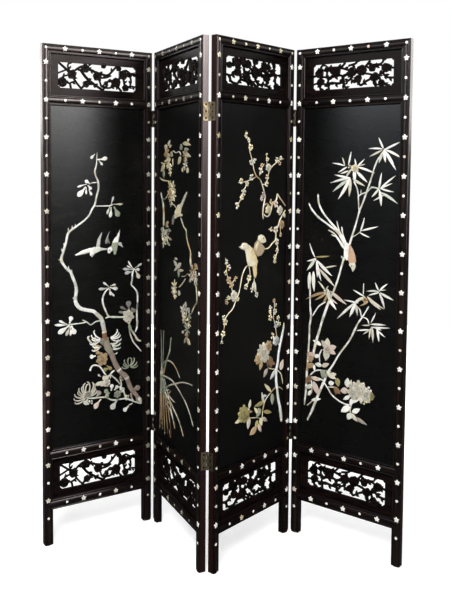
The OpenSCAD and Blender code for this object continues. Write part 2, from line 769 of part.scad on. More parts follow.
leaves_1 = [
    [202, 1441, 186, 1424, 12], [216, 1420, 253, 1428, 17], [220, 1416, 234, 1401, 11],
    [184, 1330, 163, 1343, 15], [170, 1330, 133, 1319, 9], [166, 1320, 134, 1285, 23],
    [169, 1318, 168, 1292, 9], [174, 1326, 189, 1310, 14], [178, 1310, 190, 1288, 11],
    [268, 1252, 279, 1283, 9], [276, 1254, 317, 1254, 9], [263, 1245, 252, 1217, 11],
    [268, 1243, 264, 1204, 15], [280, 1244, 300, 1206, 24],
    [100, 812, 43, 816, 11], [92, 814, 60, 830, 10], [100, 816, 108, 842, 21],
    [100, 810, 56, 784, 21], [102, 806, 86, 772, 13], [104, 806, 104, 770, 10],
    [108, 808, 122, 775, 22],
    [258, 937, 217, 935, 12], [260, 940, 235, 959, 9], [262, 938, 296, 931, 15],
    [264, 944, 288, 948, 9], [262, 932, 267, 908, 12], [268, 922, 281, 903, 9],
    [364, 1000, 340, 1034, 8], [360, 1000, 334, 1017, 6], [360, 1000, 318, 1005, 12],
    [360, 992, 326, 988, 16], [368, 1006, 398, 1022, 9], [366, 1000, 389, 999, 14],
    [370, 996, 387, 964, 17],
    [343, 846, 341, 880, 25], [340, 842, 307, 860, 13], [338, 836, 300, 841, 11],
    [346, 834, 372, 842, 16], [344, 840, 322, 826, 20], [350, 834, 360, 852, 14],
    [204, 683, 181, 682, 19], [216, 712, 198, 706, 15], [232, 690, 205, 695, 16],
    [262, 632, 234, 622, 18], [250, 640, 270, 622, 16], [188, 640, 180, 628, 10],
    [264, 604, 242, 588, 20], [258, 596, 232, 592, 22], [252, 586, 204, 572, 17],
    [262, 584, 224, 565, 15], [226, 600, 214, 610, 10],
    [262, 530, 240, 546, 20], [258, 520, 246, 530, 22], [268, 540, 271, 565, 18],
    [280, 540, 296, 556, 16], [300, 530, 285, 520, 18], [300, 552, 320, 530, 26],
    [206, 524, 222, 546, 22], [172, 524, 160, 502, 24], [226, 514, 198, 482, 22],
    [292, 500, 268, 468, 26], [342, 470, 320, 452, 20], [352, 530, 391, 537, 24],
    [362, 520, 396, 474, 26]
];
blooms_1 = [
    [240, 735, 26, 9], [230, 668, 30, 8], [155, 562, 46, 15], [172, 546, 24, 9],
    [345, 634, 30, 11], [330, 618, 20, 8], [340, 822, 30, 7], [325, 600, 18, 7],
    [250, 538, 18, 6], [350, 578, 16, 7]
];
figures_1 = [
    // first swallow: far wing, near wing, body and forked tail
    [[204, 1096], [212, 1122], [229, 1149], [231, 1147], [222, 1120], [220, 1094]],
    [[194, 1092], [180, 1092], [150, 1084], [122, 1069], [128, 1066], [160, 1070], [196, 1076]],
    [[183, 1080], [184, 1066], [190, 1057], [200, 1066], [222, 1078], [250, 1082], [256, 1086],
     [250, 1090], [224, 1096], [198, 1098]],
    // second swallow
    [[266, 1108], [258, 1130], [263, 1152], [256, 1138], [243, 1112], [245, 1103], [256, 1106]],
    [[268, 1096], [276, 1118], [290, 1130], [304, 1157], [302, 1134], [296, 1108], [310, 1108],
     [317, 1088], [306, 1094], [296, 1096], [288, 1064], [281, 1062], [278, 1078], [260, 1068],
     [254, 1070], [254, 1088]]
];

// Panel 2: a hanging vine, a diving swallow and blades of grass
stems_2 = [
    [[160, 1440, 6], [180, 1452, 7], [205, 1446, 6], [235, 1449, 7], [252, 1436, 6]],
    [[60, 1410, 7], [110, 1408, 6], [140, 1412, 6]], [[175, 1425, 7], [178, 1398, 6]],
    [[45, 1356, 6], [75, 1346, 9], [110, 1343, 8], [138, 1340, 6], [150, 1318, 6]],
    [[60, 1298, 9], [72, 1276, 9], [85, 1250, 12], [90, 1210, 14], [90, 1172, 12]],
    [[74, 1275, 5], [105, 1276, 6], [135, 1296, 6]],
    [[145, 1258, 6], [188, 1256, 6], [206, 1246, 4]],
    [[250, 1214, 7], [270, 1192, 7], [282, 1180, 6], [300, 1172, 8], [308, 1142, 7],
     [325, 1117, 8], [340, 1098, 8], [342, 1062, 12], [352, 1040, 8]],
    [[318, 1020, 5], [290, 1007, 5], [262, 1003, 6]],
    [[298, 1000, 5], [265, 975, 7], [238, 960, 6]],
    [[384, 996, 8], [394, 965, 9], [398, 934, 10], [376, 914, 7], [352, 886, 7]],
    [[72, 655, 12], [70, 760, 9]], [[88, 645, 10], [92, 768, 9]],
    [[106, 636, 9], [130, 676, 9], [152, 708, 8], [166, 762, 6]],
    [[70, 628, 10], [104, 655, 9], [140, 668, 8], [180, 668, 7], [215, 655, 6], [250, 630, 4]],
    [[60, 590, 10], [110, 600, 9], [170, 602, 8], [214, 592, 7], [260, 575, 7], [310, 550, 7],
     [348, 516, 6], [370, 488, 4]],
    [[80, 548, 9], [120, 560, 9], [160, 580, 9], [210, 598, 8], [260, 616, 7], [310, 627, 6],
     [362, 632, 4]],
    [[66, 530, 9], [110, 545, 8], [150, 560, 6]],
    [[100, 540, 9], [150, 522, 9], [190, 500, 8], [230, 478, 7], [262, 452, 7], [284, 424, 5]],
    [[120, 500, 9], [160, 486, 9], [186, 460, 8], [206, 428, 6]],
    [[130, 540, 6], [172, 530, 7], [200, 526, 4]]
];
leaves_2 = [
    [122, 1462, 92, 1474, 24], [128, 1452, 88, 1440, 18], [126, 1474, 148, 1492, 16],
    [140, 1468, 162, 1474, 14], [150, 1446, 176, 1436, 22], [134, 1420, 92, 1416, 12],
    [250, 1430, 224, 1404, 24], [262, 1470, 240, 1460, 24], [268, 1478, 336, 1470, 16],
    [280, 1458, 320, 1454, 12], [284, 1440, 336, 1430, 16], [262, 1392, 270, 1376, 14],
    [300, 1386, 320, 1378, 22], [306, 1486, 324, 1490, 12],
    [98, 1402, 58, 1378, 26], [84, 1384, 88, 1354, 22],
    [110, 1170, 136, 1192, 24], [128, 1160, 158, 1158, 16], [140, 1130, 166, 1126, 12],
    [124, 1112, 150, 1104, 14], [90, 1160, 54, 1158, 14],
    [226, 1034, 186, 1052, 18], [228, 1034, 192, 1014, 12], [228, 1030, 256, 1050, 20],
    [232, 1026, 236, 996, 18], [236, 1022, 278, 1026, 12], [196, 1060, 222, 1060, 10],
    [230, 940, 250, 938, 22], [384, 1060, 402, 1044, 14], [374, 1050, 388, 1062, 18],
    [370, 990, 402, 994, 14], [298, 784, 288, 766, 14], [312, 784, 342, 772, 22],
    [284, 806, 264, 800, 12], [96, 520, 128, 552, 16], [124, 530, 166, 560, 14],
    [140, 520, 192, 548, 16], [130, 512, 176, 506, 14], [80, 520, 66, 440, 34],
    [96, 480, 118, 428, 22], [120, 500, 160, 476, 20], [84, 610, 62, 590, 20],
    [90, 600, 110, 640, 18], [166, 380, 150, 410, 4]
];
blooms_2 = [
    [120, 1446, 26, 7], [138, 1408, 28, 7], [290, 1436, 24, 7], [288, 1402, 20, 6],
    [152, 1322, 24, 7], [178, 1316, 28, 7], [148, 1296, 26, 7], [184, 1290, 24, 7],
    [162, 1270, 20, 6], [152, 1378, 18, 6], [88, 1144, 26, 7], [118, 1136, 28, 7],
    [92, 1112, 22, 6], [126, 1178, 14, 5], [360, 1030, 30, 8], [384, 1016, 24, 7],
    [346, 1010, 22, 6], [196, 956, 26, 7], [204, 932, 20, 6], [182, 940, 16, 6],
    [276, 882, 22, 6], [306, 892, 24, 6], [334, 878, 20, 6], [290, 852, 24, 7],
    [326, 848, 20, 6], [312, 822, 24, 6], [310, 794, 18, 6], [100, 540, 24, 7]
];
figures_2 = [
    [[232, 1258], [262, 1270], [288, 1296], [306, 1308], [306, 1302], [284, 1276], [262, 1250]],
    [[216, 1222], [184, 1220], [170, 1204], [172, 1184], [182, 1184], [192, 1202], [218, 1210]],
    [[204, 1232], [222, 1256], [246, 1262], [256, 1244], [252, 1228], [266, 1226], [262, 1220],
     [240, 1218], [214, 1210], [196, 1204]]
];

// Panel 3: plum blossom, a pair of perched birds, a white trunk and camellias
stems_3 = [
    [[165, 1502, 5], [182, 1488, 5], [182, 1468, 5], [187, 1448, 5], [198, 1424, 6],
     [206, 1400, 6], [212, 1382, 6], [226, 1363, 7], [246, 1352, 6], [258, 1334, 7],
     [268, 1312, 9], [276, 1292, 10], [272, 1272, 11], [266, 1250, 9], [264, 1226, 9],
     [268, 1209, 10]],
    [[224, 1362, 5], [197, 1352, 6], [165, 1345, 5], [124, 1341, 4]],
    [[172, 1338, 5], [156, 1314, 6], [142, 1290, 6], [126, 1268, 5], [112, 1254, 4]],
    [[262, 1334, 6], [284, 1336, 6], [292, 1362, 6], [302, 1385, 7], [322, 1402, 6],
     [345, 1414, 6], [366, 1424, 5], [390, 1427, 3]],
    [[243, 1364, 4], [247, 1384, 5], [270, 1408, 4]], [[290, 1395, 5], [284, 1418, 4], [284, 1442, 4]],
    [[270, 1226, 8], [284, 1218, 8], [300, 1220, 8], [314, 1240, 8], [320, 1262, 9],
     [344, 1276, 10], [350, 1298, 7], [364, 1284, 7], [384, 1268, 8], [404, 1250, 5]],
    [[270, 1258, 8], [286, 1264, 6], [304, 1256, 6]],
    [[404, 1240, 4], [386, 1222, 8], [370, 1204, 9], [358, 1182, 9], [346, 1160, 9],
     [341, 1130, 8], [322, 1117, 8], [300, 1102, 7], [272, 1100, 6]],
    [[342, 1132, 7], [352, 1112, 7], [356, 1090, 7], [346, 1070, 6], [340, 1044, 5]],
    [[336, 1164, 5], [316, 1170, 5], [298, 1170, 3]], [[372, 1180, 5], [372, 1146, 4]],
    [[184, 1050, 7], [166, 1040, 7], [150, 1015, 7], [142, 985, 6], [132, 955, 6],
     [116, 930, 6], [100, 905, 7], [76, 890, 6], [60, 874, 6], [54, 840, 5], [46, 815, 4],
     [42, 794, 3]],
    [[60, 1086, 3], [66, 1056, 4], [66, 1034, 4], [76, 1010, 5], [90, 990, 5], [98, 965, 5],
     [110, 945, 6]],
    [[90, 990, 5], [112, 1008, 4]], [[110, 940, 5], [80, 942, 4], [58, 940, 3]],
    [[188, 1046, 5], [194, 1016, 5], [186, 990, 5], [172, 974, 4]],
    [[218, 1000, 5], [218, 960, 5], [236, 942, 4]],
    [[404, 818, 9], [396, 785, 15], [382, 745, 16], [370, 705, 17], [364, 665, 18],
     [356, 640, 19], [356, 600, 20], [362, 570, 18], [370, 530, 19], [380, 500, 21],
     [388, 465, 22], [392, 436, 18]],
    [[374, 730, 8], [362, 745, 7], [354, 780, 7], [346, 812, 7], [336, 842, 5], [340, 870, 4],
     [342, 908, 4]],
    [[338, 836, 4], [322, 848, 4], [316, 880, 4]], [[352, 806, 4], [364, 820, 4], [372, 836, 4]],
    [[290, 702, 7], [304, 664, 6], [322, 652, 6], [360, 643, 5]],
    [[362, 640, 6], [384, 622, 6], [394, 600, 6], [399, 578, 4]],
    [[362, 576, 7], [384, 568, 6], [400, 556, 4]],
    [[364, 578, 6], [344, 572, 6], [324, 562, 6], [300, 548, 6], [286, 532, 6], [276, 505, 7],
     [272, 478, 6], [250, 456, 6]],
    [[185, 500, 4], [208, 494, 4], [236, 488, 6], [262, 480, 5]]
];
leaves_3 = [
    [388, 1228, 402, 1208, 16], [220, 990, 198, 950, 26], [222, 985, 228, 948, 18],
    [270, 690, 256, 660, 22], [310, 700, 326, 656, 34], [322, 676, 350, 664, 14],
    [302, 656, 280, 628, 20], [350, 642, 320, 612, 18], [384, 636, 398, 672, 28],
    [326, 566, 286, 602, 15], [332, 556, 334, 514, 22], [284, 530, 270, 574, 14],
    [286, 536, 228, 532, 18], [250, 500, 226, 528, 14], [264, 514, 240, 490, 20],
    [282, 500, 330, 486, 16], [272, 478, 304, 460, 16], [196, 532, 204, 562, 16],
    [188, 520, 216, 516, 10], [196, 500, 190, 458, 24], [150, 502, 118, 496, 15],
    [180, 530, 200, 528, 10], [250, 460, 268, 428, 18], [240, 450, 202, 434, 28],
    [246, 476, 234, 448, 20], [262, 480, 272, 450, 22], [280, 560, 300, 556, 10]
];
blooms_3 = [
    [166, 1500, 9, 5], [192, 1465, 12, 5], [196, 1412, 12, 5], [214, 1418, 10, 5],
    [198, 1360, 13, 5], [140, 1346, 11, 5], [172, 1337, 11, 5], [154, 1308, 13, 5],
    [144, 1290, 11, 5], [118, 1262, 13, 5], [248, 1382, 14, 5], [256, 1402, 9, 5],
    [284, 1336, 12, 5], [288, 1360, 11, 5], [294, 1394, 15, 6], [288, 1424, 9, 5],
    [284, 1441, 6, 5], [345, 1423, 11, 5], [362, 1411, 9, 5], [368, 1430, 9, 5],
    [295, 1243, 18, 6], [314, 1270, 12, 5], [342, 1260, 14, 6], [260, 1296, 12, 5],
    [256, 1282, 9, 5], [366, 1238, 18, 6], [376, 1184, 18, 7], [342, 1166, 14, 6],
    [316, 1170, 10, 5], [374, 1146, 8, 5], [350, 1122, 14, 6], [352, 1088, 11, 5],
    [340, 1066, 10, 5], [340, 1050, 9, 5], [64, 1072, 10, 5], [76, 1050, 12, 5],
    [62, 1033, 10, 5], [76, 1008, 13, 5], [92, 989, 14, 5], [115, 1008, 10, 5],
    [188, 1003, 14, 6], [172, 974, 11, 5], [104, 950, 20, 6], [126, 938, 11, 5],
    [76, 946, 9, 5], [68, 930, 8, 5], [54, 880, 10, 5], [60, 864, 13, 5], [50, 825, 12, 5],
    [43, 795, 7, 5], [338, 904, 9, 5], [347, 888, 9, 5], [318, 882, 10, 5], [314, 866, 8, 5],
    [316, 844, 13, 5], [344, 862, 12, 5], [364, 836, 10, 5], [352, 812, 14, 5],
    [372, 812, 9, 5], [330, 774, 12, 5], [352, 752, 19, 6], [275, 720, 42, 11],
    [304, 738, 24, 8], [246, 704, 22, 7], [163, 518, 32, 9], [180, 506, 18, 6],
    [250, 508, 14, 6]
];
figures_3 = [
    // right bird: body and head
    [[212, 1104], [216, 1124], [232, 1140], [240, 1150], [254, 1154], [268, 1150], [280, 1136],
     [282, 1126], [274, 1116], [276, 1090], [262, 1078], [240, 1076], [226, 1084]],
    // left bird: folded wing, tail and head
    [[132, 1118], [150, 1131], [172, 1128], [192, 1116], [210, 1106], [226, 1078], [238, 1062],
     [230, 1046], [232, 1016], [224, 1000], [216, 1006], [208, 1040], [184, 1044], [174, 1064],
     [170, 1090], [154, 1102]]
];

// Panel 4: bamboo, a long-tailed bird, a rose and a peony
stems_4 = [
    [[352, 1462, 6], [340, 1440, 6], [326, 1424, 7], [312, 1390, 7], [305, 1365, 7],
     [290, 1320, 8], [276, 1280, 8], [260, 1240, 8], [248, 1196, 8], [235, 1155, 9],
     [222, 1112, 9]],
    [[204, 1072, 9], [196, 1045, 9], [182, 995, 9], [166, 950, 9], [150, 915, 10],
     [136, 878, 13], [118, 825, 11], [108, 790, 11], [95, 748, 13], [84, 700, 11],
     [76, 670, 9]],
    [[64, 990, 8], [67, 930, 8], [68, 880, 8], [72, 840, 10], [67, 800, 9], [66, 750, 9],
     [63, 700, 9], [60, 650, 10], [57, 600, 10], [56, 560, 10], [49, 500, 6]],
    [[303, 905, 6], [290, 882, 6], [278, 862, 8], [262, 838, 7], [250, 812, 10], [232, 775, 8],
     [208, 740, 9], [190, 714, 8], [166, 672, 9], [146, 640, 10], [130, 602, 12],
     [112, 560, 12], [96, 520, 12], [80, 480, 11], [62, 444, 8]],
    [[236, 1348, 6], [246, 1330, 6], [253, 1308, 6], [256, 1276, 5], [258, 1244, 5]],
    [[252, 1290, 4], [266, 1302, 6], [288, 1310, 5], [306, 1326, 5], [334, 1320, 5]],
    [[264, 1302, 4], [265, 1318, 4]],
    [[236, 1148, 4], [252, 1158, 4], [266, 1168, 5]],
    [[78, 842, 6], [90, 862, 6], [106, 884, 6], [132, 902, 6]],
    [[276, 862, 5], [268, 890, 6], [250, 905, 5]], [[280, 864, 5], [298, 858, 6], [306, 838, 5]],
    [[282, 985, 4], [281, 945, 5]], [[120, 724, 5], [110, 700, 6], [112, 672, 5]],
    [[72, 618, 7], [94, 638, 7], [122, 645, 6], [160, 645, 5]],
    [[76, 612, 6], [108, 612, 7], [132, 606, 6]],
    [[128, 604, 6], [148, 580, 6], [164, 560, 7], [196, 542, 7], [232, 536, 6], [250, 548, 5]],
    [[244, 545, 6], [238, 520, 6], [240, 505, 5]], [[146, 586, 5], [180, 592, 5]],
    [[78, 600, 6], [80, 560, 7], [70, 540, 5]], [[60, 500, 5], [90, 528, 5]],
    // tail plumes of the bird
    [[56, 1264, 6], [70, 1240, 8], [98, 1212, 9], [140, 1186, 9], [180, 1158, 11],
     [206, 1118, 14]],
    [[94, 1298, 8], [98, 1264, 9], [118, 1228, 9], [148, 1196, 9], [184, 1160, 10],
     [210, 1118, 13]],
    [[172, 1202, 4], [182, 1170, 6], [204, 1124, 8]], [[192, 1182, 6], [198, 1150, 8], [212, 1118, 9]],
    [[138, 1168, 6], [166, 1152, 9], [204, 1104, 12]], [[150, 1152, 4], [174, 1144, 6]],
    [[203, 1068, 4], [192, 1076, 3], [195, 1066, 3]]
];
leaves_4 = [
    [346, 1462, 328, 1500, 9], [350, 1458, 408, 1484, 10], [352, 1458, 412, 1428, 12],
    [350, 1456, 393, 1387, 16], [344, 1460, 290, 1462, 9], [342, 1456, 294, 1434, 10],
    [346, 1452, 330, 1412, 15], [350, 1452, 354, 1414, 14],
    [200, 1402, 150, 1412, 8], [200, 1402, 190, 1432, 7], [208, 1398, 174, 1378, 9],
    [214, 1404, 224, 1452, 9], [214, 1384, 184, 1374, 8], [224, 1358, 160, 1370, 11],
    [222, 1360, 144, 1340, 12], [220, 1356, 154, 1308, 15], [220, 1356, 176, 1281, 17],
    [222, 1358, 219, 1292, 17], [232, 1356, 280, 1330, 13], [246, 1382, 288, 1344, 15],
    [250, 1398, 316, 1376, 11], [248, 1400, 276, 1426, 8], [246, 1402, 238, 1428, 7],
    [250, 1400, 280, 1408, 6], [238, 1388, 242, 1346, 18], [226, 1390, 206, 1362, 12],
    [332, 1322, 341, 1378, 11], [334, 1320, 392, 1368, 9], [336, 1322, 382, 1342, 8],
    [336, 1324, 388, 1312, 9], [338, 1310, 402, 1272, 13], [334, 1318, 342, 1262, 15],
    [350, 1300, 312, 1280, 8], [332, 1322, 305, 1292, 11], [334, 1324, 300, 1330, 6],
    [264, 1166, 280, 1220, 9], [268, 1172, 332, 1190, 10], [262, 1166, 302, 1150, 8],
    [86, 1062, 62, 1114, 8], [84, 1064, 148, 1073, 9], [90, 1060, 51, 1046, 10],
    [90, 1060, 51, 1010, 16], [122, 1026, 174, 1039, 9], [94, 1052, 156, 1000, 16],
    [92, 1052, 112, 978, 16], [104, 1022, 168, 962, 16], [64, 1006, 60, 942, 20],
    [80, 1010, 84, 936, 20], [92, 1050, 96, 990, 12],
    [132, 938, 50, 904, 14], [128, 946, 100, 976, 9], [132, 944, 142, 962, 8],
    [150, 944, 216, 902, 17], [140, 926, 176, 878, 17], [134, 934, 88, 904, 12],
    [138, 930, 120, 892, 12], [146, 922, 180, 900, 10], [140, 950, 150, 900, 22],
    [286, 938, 241, 958, 8], [262, 912, 205, 918, 8], [246, 910, 180, 846, 13],
    [250, 910, 229, 858, 16], [252, 908, 260, 866, 12], [246, 906, 276, 934, 14],
    [290, 936, 250, 918, 14], [296, 940, 348, 898, 16], [300, 936, 360, 902, 10],
    [342, 956, 362, 904, 12], [344, 958, 394, 937, 12], [340, 962, 372, 993, 9],
    [338, 966, 325, 992, 8], [340, 962, 292, 958, 9], [344, 966, 366, 970, 5],
    [300, 920, 268, 902, 8], [340, 958, 300, 944, 8],
    [310, 842, 368, 846, 10], [312, 832, 384, 838, 9], [312, 848, 330, 886, 7],
    [308, 838, 276, 834, 6], [306, 822, 256, 812, 8], [312, 826, 282, 802, 8],
    [314, 830, 306, 788, 9], [318, 830, 321, 778, 12], [336, 830, 344, 784, 12],
    [334, 824, 366, 803, 9], [328, 832, 352, 826, 9],
    [116, 738, 82, 752, 17], [140, 730, 118, 756, 22], [142, 734, 142, 768, 26],
    [148, 732, 178, 742, 24], [146, 728, 176, 714, 22], [138, 726, 137, 684, 30],
    [92, 700, 56, 696, 18], [84, 690, 58, 668, 18], [90, 690, 112, 700, 16],
    [86, 662, 58, 644, 22], [88, 660, 92, 636, 12], [120, 662, 92, 664, 18],
    [122, 660, 150, 674, 18], [124, 630, 118, 646, 14], [130, 644, 124, 616, 22],
    [140, 640, 180, 622, 20], [156, 632, 180, 640, 18],
    [184, 626, 190, 596, 22], [150, 600, 172, 606, 20], [170, 592, 198, 570, 20],
    [180, 590, 180, 564, 16], [78, 610, 116, 606, 18], [76, 604, 56, 590, 22],
    [86, 596, 112, 546, 24], [80, 582, 58, 566, 18], [78, 560, 64, 540, 14],
    [80, 524, 118, 536, 14], [226, 600, 226, 634, 24], [238, 606, 240, 630, 10],
    [228, 588, 198, 582, 26], [236, 530, 202, 505, 26], [240, 506, 228, 482, 24],
    [246, 512, 276, 530, 20], [242, 508, 268, 482, 16], [262, 496, 304, 478, 14],
    [250, 564, 236, 536, 18], [272, 566, 246, 546, 12], [236, 570, 210, 552, 16]
];
blooms_4 = [
    [240, 1392, 16, 6], [222, 1396, 11, 5], [144, 728, 20, 7], [270, 594, 40, 11],
    [252, 584, 26, 8], [300, 586, 24, 7], [318, 584, 16, 5], [308, 604, 13, 5],
    [306, 568, 13, 5], [286, 560, 14, 5], [286, 616, 12, 5], [234, 588, 14, 6],
    [74, 688, 14, 6], [288, 926, 12, 6], [136, 938, 14, 6], [66, 604, 14, 6]
];
figures_4 = [
    [[204, 1120], [214, 1126], [226, 1122], [238, 1102], [248, 1078], [251, 1058], [248, 1038],
     [239, 1024], [232, 1040], [222, 1048], [212, 1062], [202, 1076], [202, 1098]]
];

stems = [stems_1, stems_2, stems_3, stems_4];
leaves = [leaves_1, leaves_2, leaves_3, leaves_4];
blooms = [blooms_1, blooms_2, blooms_3, blooms_4];
figures = [figures_1, figures_2, figures_3, figures_4];

// Places drawing on the centre board of panel i
module on_board(i) {
    size = [panel_w - 2 * stile_w, board_hi - board_lo];
    translate([stile_w, board_lo])
        scale([size[0] / picture_drawn_size[0], size[1] / picture_drawn_size[1]])
            translate([picture_shift[i - 1] - picture_drawn_lo[0], -picture_drawn_lo[1]])
                children();
}

module stem_shapes(i) {
    for (s = stems[i - 1])
        stroke(s);
}

module leaf_shapes(i) {
    for (l = leaves[i - 1])
        leaf(l);
}

module bloom_shapes(i) {
    for (f = blooms[i - 1])
        flower(f);
    for (f = figures[i - 1])
        polygon(f);
}

// Half the hairline between neighbouring pieces of the inlay
inlay_line = 0.05;

// Clearance between the inlay and the frame
picture_gap = 0.3;

module board_window() {
    translate([stile_w + picture_gap, board_lo + picture_gap])
        square([panel_w - 2 * (stile_w + picture_gap), board_hi - board_lo - 2 * picture_gap]);
}

// Stems and leaves lie low and are cut round the flowers and birds, which stand higher
module picture(i) {
    color([0.88, 0.84, 0.74])
        at_panel(i) {
            slab(board_y - spray_rise, spray_rise)
                offset(delta = -inlay_line)
                    intersection() {
                        board_window();
                        on_board(i)
                            difference() {
                                union() {
                                    stem_shapes(i);
                                    leaf_shapes(i);
                                }
                                bloom_shapes(i);
                            }
                    }
            slab(board_y - bloom_rise, bloom_rise)
                offset(delta = -inlay_line)
                    intersection() {
                        board_window();
                        on_board(i)
                            bloom_shapes(i);
                    }
        }
}

// Hinges in their own frame: the pin stands on the origin, the panel's edge is at X = pin_side
// and the leaf runs along Y across that edge
function knuckle_z(k) = -hinge_h / 2 + k * knuckle_h;

module knuckle_holder(first) {
    notch = sqrt(pow(barrel_r + knuckle_gap, 2) - pow(pin_side - leaf_t, 2));
    hold = first ? pin_hold : pin_fit;
    difference() {
        union() {
            translate([pin_side - leaf_t, 0, -hinge_h / 2])
                cube([leaf_t, leaf_w, hinge_h]);
            for (k = [0:knuckles - 1])
                if ((k % 2 == 0) == first)
                    translate([0, 0, knuckle_z(k) + knuckle_gap / 2])
                        cylinder(r = barrel_r, h = knuckle_h - knuckle_gap);
        }
        for (k = [0:knuckles - 1])
            if ((k % 2 == 0) != first)
                translate([pin_side - leaf_t - 1, -1, knuckle_z(k) - knuckle_gap / 2])
                    cube([leaf_t + 2, notch + 1, knuckle_h + knuckle_gap]);
        translate([0, 0, -hinge_h])
            cylinder(r = pin_r + hold, h = 2 * hinge_h);
        for (k = [-1:1])
            translate([pin_side, leaf_w / 2 + 1, k * screw_pitch])
                rotate([0, -90, 0])
                    screw_recess();
    }
}

// The recess and the screw point out of the panel's edge along Z
module screw_recess() {
    translate([0, 0, -1])
        cylinder(r = screw_r + screw_fit, h = leaf_t + 2);
    translate([0, 0, head_z])
        cylinder(r1 = screw_r + screw_fit, r2 = head_r + screw_fit, h = head_h);
    translate([0, 0, head_z + head_h])
        cylinder(r = head_r + screw_fit, h = 1);
}

module screw() {
    difference() {
        union() {
            translate([0, 0, -screw_l])
                cylinder(r = screw_r, h = screw_l + head_z + head_h);
            translate([0, 0, head_z])
                cylinder(r1 = screw_r, r2 = head_r, h = head_h);
        }
        translate([-head_r, -slot_w / 2, head_z + head_h - slot_d])
            cube([2 * head_r, slot_w, 1]);
    }
}

module hinge_pin() {
    cylinder(r = pin_r, h = hinge_h + 1, center = true);
    for (s = [-1, 1])
        translate([0, 0, s * (hinge_h / 2 + 0.7)])
            cylinder(r = pin_r + 0.8, h = 1.2, center = true);
}

// Moves a part from the hinge's frame to the left edge of a panel
module at_left_edge(front) {
    for (z = hinge_zs)
        translate([-pin_side, front ? -pin_out : frame_t + pin_out, z])
            mirror([0, front ? 0 : 1, 0])
                children();
}

module at_right_edge(front) {
    other_side()
        at_left_edge(front)
            children();
}

module leaves_left(i, front, first) {
    color([0.55, 0.42, 0.2])
        at_panel(i)
            at_left_edge(front)
                knuckle_holder(first);
}

module leaves_right(i, front, first) {
    color([0.55, 0.42, 0.2])
        at_panel(i)
            at_right_edge(front)
                knuckle_holder(first);
}

module pins(i, front) {
    color([0.6, 0.47, 0.25])
        at_panel(i)
            at_left_edge(front)
                hinge_pin();
}

module leaf_screws() {
    for (k = [-1:1])
        translate([pin_side, leaf_w / 2 + 1, k * screw_pitch])
            rotate([0, -90, 0])
                screw();
}

module screws(i) {
    color([0.6, 0.47, 0.25])
        at_panel(i) {
            if (i > 1)
                at_left_edge(i != 3)
                    leaf_screws();
            if (i < 4)
                at_right_edge(i != 2)
                    leaf_screws();
        }
}

left_stile(1);  // panel_1_left_stile
right_stile(1);  // panel_1_right_stile
top_rail(1);  // panel_1_top_rail
cross_rail(1, upper_rail_z);  // panel_1_upper_rail
cross_rail(1, lower_rail_z);  // panel_1_lower_rail
cross_rail(1, bottom_rail_z);  // panel_1_bottom_rail
board(1);  // panel_1_board
fret(1, upper_fret_span);  // panel_1_upper_fret
fret(1, lower_fret_span);  // panel_1_lower_fret
studs(1);  // panel_1_studs
picture(1);  // panel_1_picture
left_stile(2);  // panel_2_left_stile
right_stile(2);  // panel_2_right_stile
top_rail(2);  // panel_2_top_rail
cross_rail(2, upper_rail_z);  // panel_2_upper_rail
cross_rail(2, lower_rail_z);  // panel_2_lower_rail
cross_rail(2, bottom_rail_z);  // panel_2_bottom_rail
board(2);  // panel_2_board
fret(2, upper_fret_span);  // panel_2_upper_fret
fret(2, lower_fret_span);  // panel_2_lower_fret
studs(2);  // panel_2_studs
picture(2);  // panel_2_picture
left_stile(3);  // panel_3_left_stile
right_stile(3);  // panel_3_right_stile
top_rail(3);  // panel_3_top_rail
cross_rail(3, upper_rail_z);  // panel_3_upper_rail
cross_rail(3, lower_rail_z);  // panel_3_lower_rail
cross_rail(3, bottom_rail_z);  // panel_3_bottom_rail
board(3);  // panel_3_board
fret(3, upper_fret_span);  // panel_3_upper_fret
fret(3, lower_fret_span);  // panel_3_lower_fret
studs(3);  // panel_3_studs
picture(3);  // panel_3_picture
left_stile(4);  // panel_4_left_stile
right_stile(4);  // panel_4_right_stile
top_rail(4);  // panel_4_top_rail
cross_rail(4, upper_rail_z);  // panel_4_upper_rail
cross_rail(4, lower_rail_z);  // panel_4_lower_rail
cross_rail(4, bottom_rail_z);  // panel_4_bottom_rail
board(4);  // panel_4_board
fret(4, upper_fret_span);  // panel_4_upper_fret
fret(4, lower_fret_span);  // panel_4_lower_fret
studs(4);  // panel_4_studs
picture(4);  // panel_4_picture
leaves_right(1, true, false);  // hinge_12_leaves_1
leaves_left(2, true, true);  // hinge_12_leaves_2
pins(2, true);  // hinge_12_pins
leaves_right(2, false, true);  // hinge_23_leaves_2
leaves_left(3, false, false);  // hinge_23_leaves_3
pins(3, false);  // hinge_23_pins
leaves_right(3, true, true);  // hinge_34_leaves_3
leaves_left(4, true, false);  // hinge_34_leaves_4
pins(4, true);  // hinge_34_pins
screws(1);  // panel_1_screws
screws(2);  // panel_2_screws
screws(3);  // panel_3_screws
screws(4);  // panel_4_screws
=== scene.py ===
"""An inlaid folding screen of four panels: rosewood frames, pierced frets and lacquered boards
with shell and soapstone pictures, hung on brass butt hinges."""
import math

import bpy
import numpy as np
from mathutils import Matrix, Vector
from mathutils.geometry import delaunay_2d_cdt


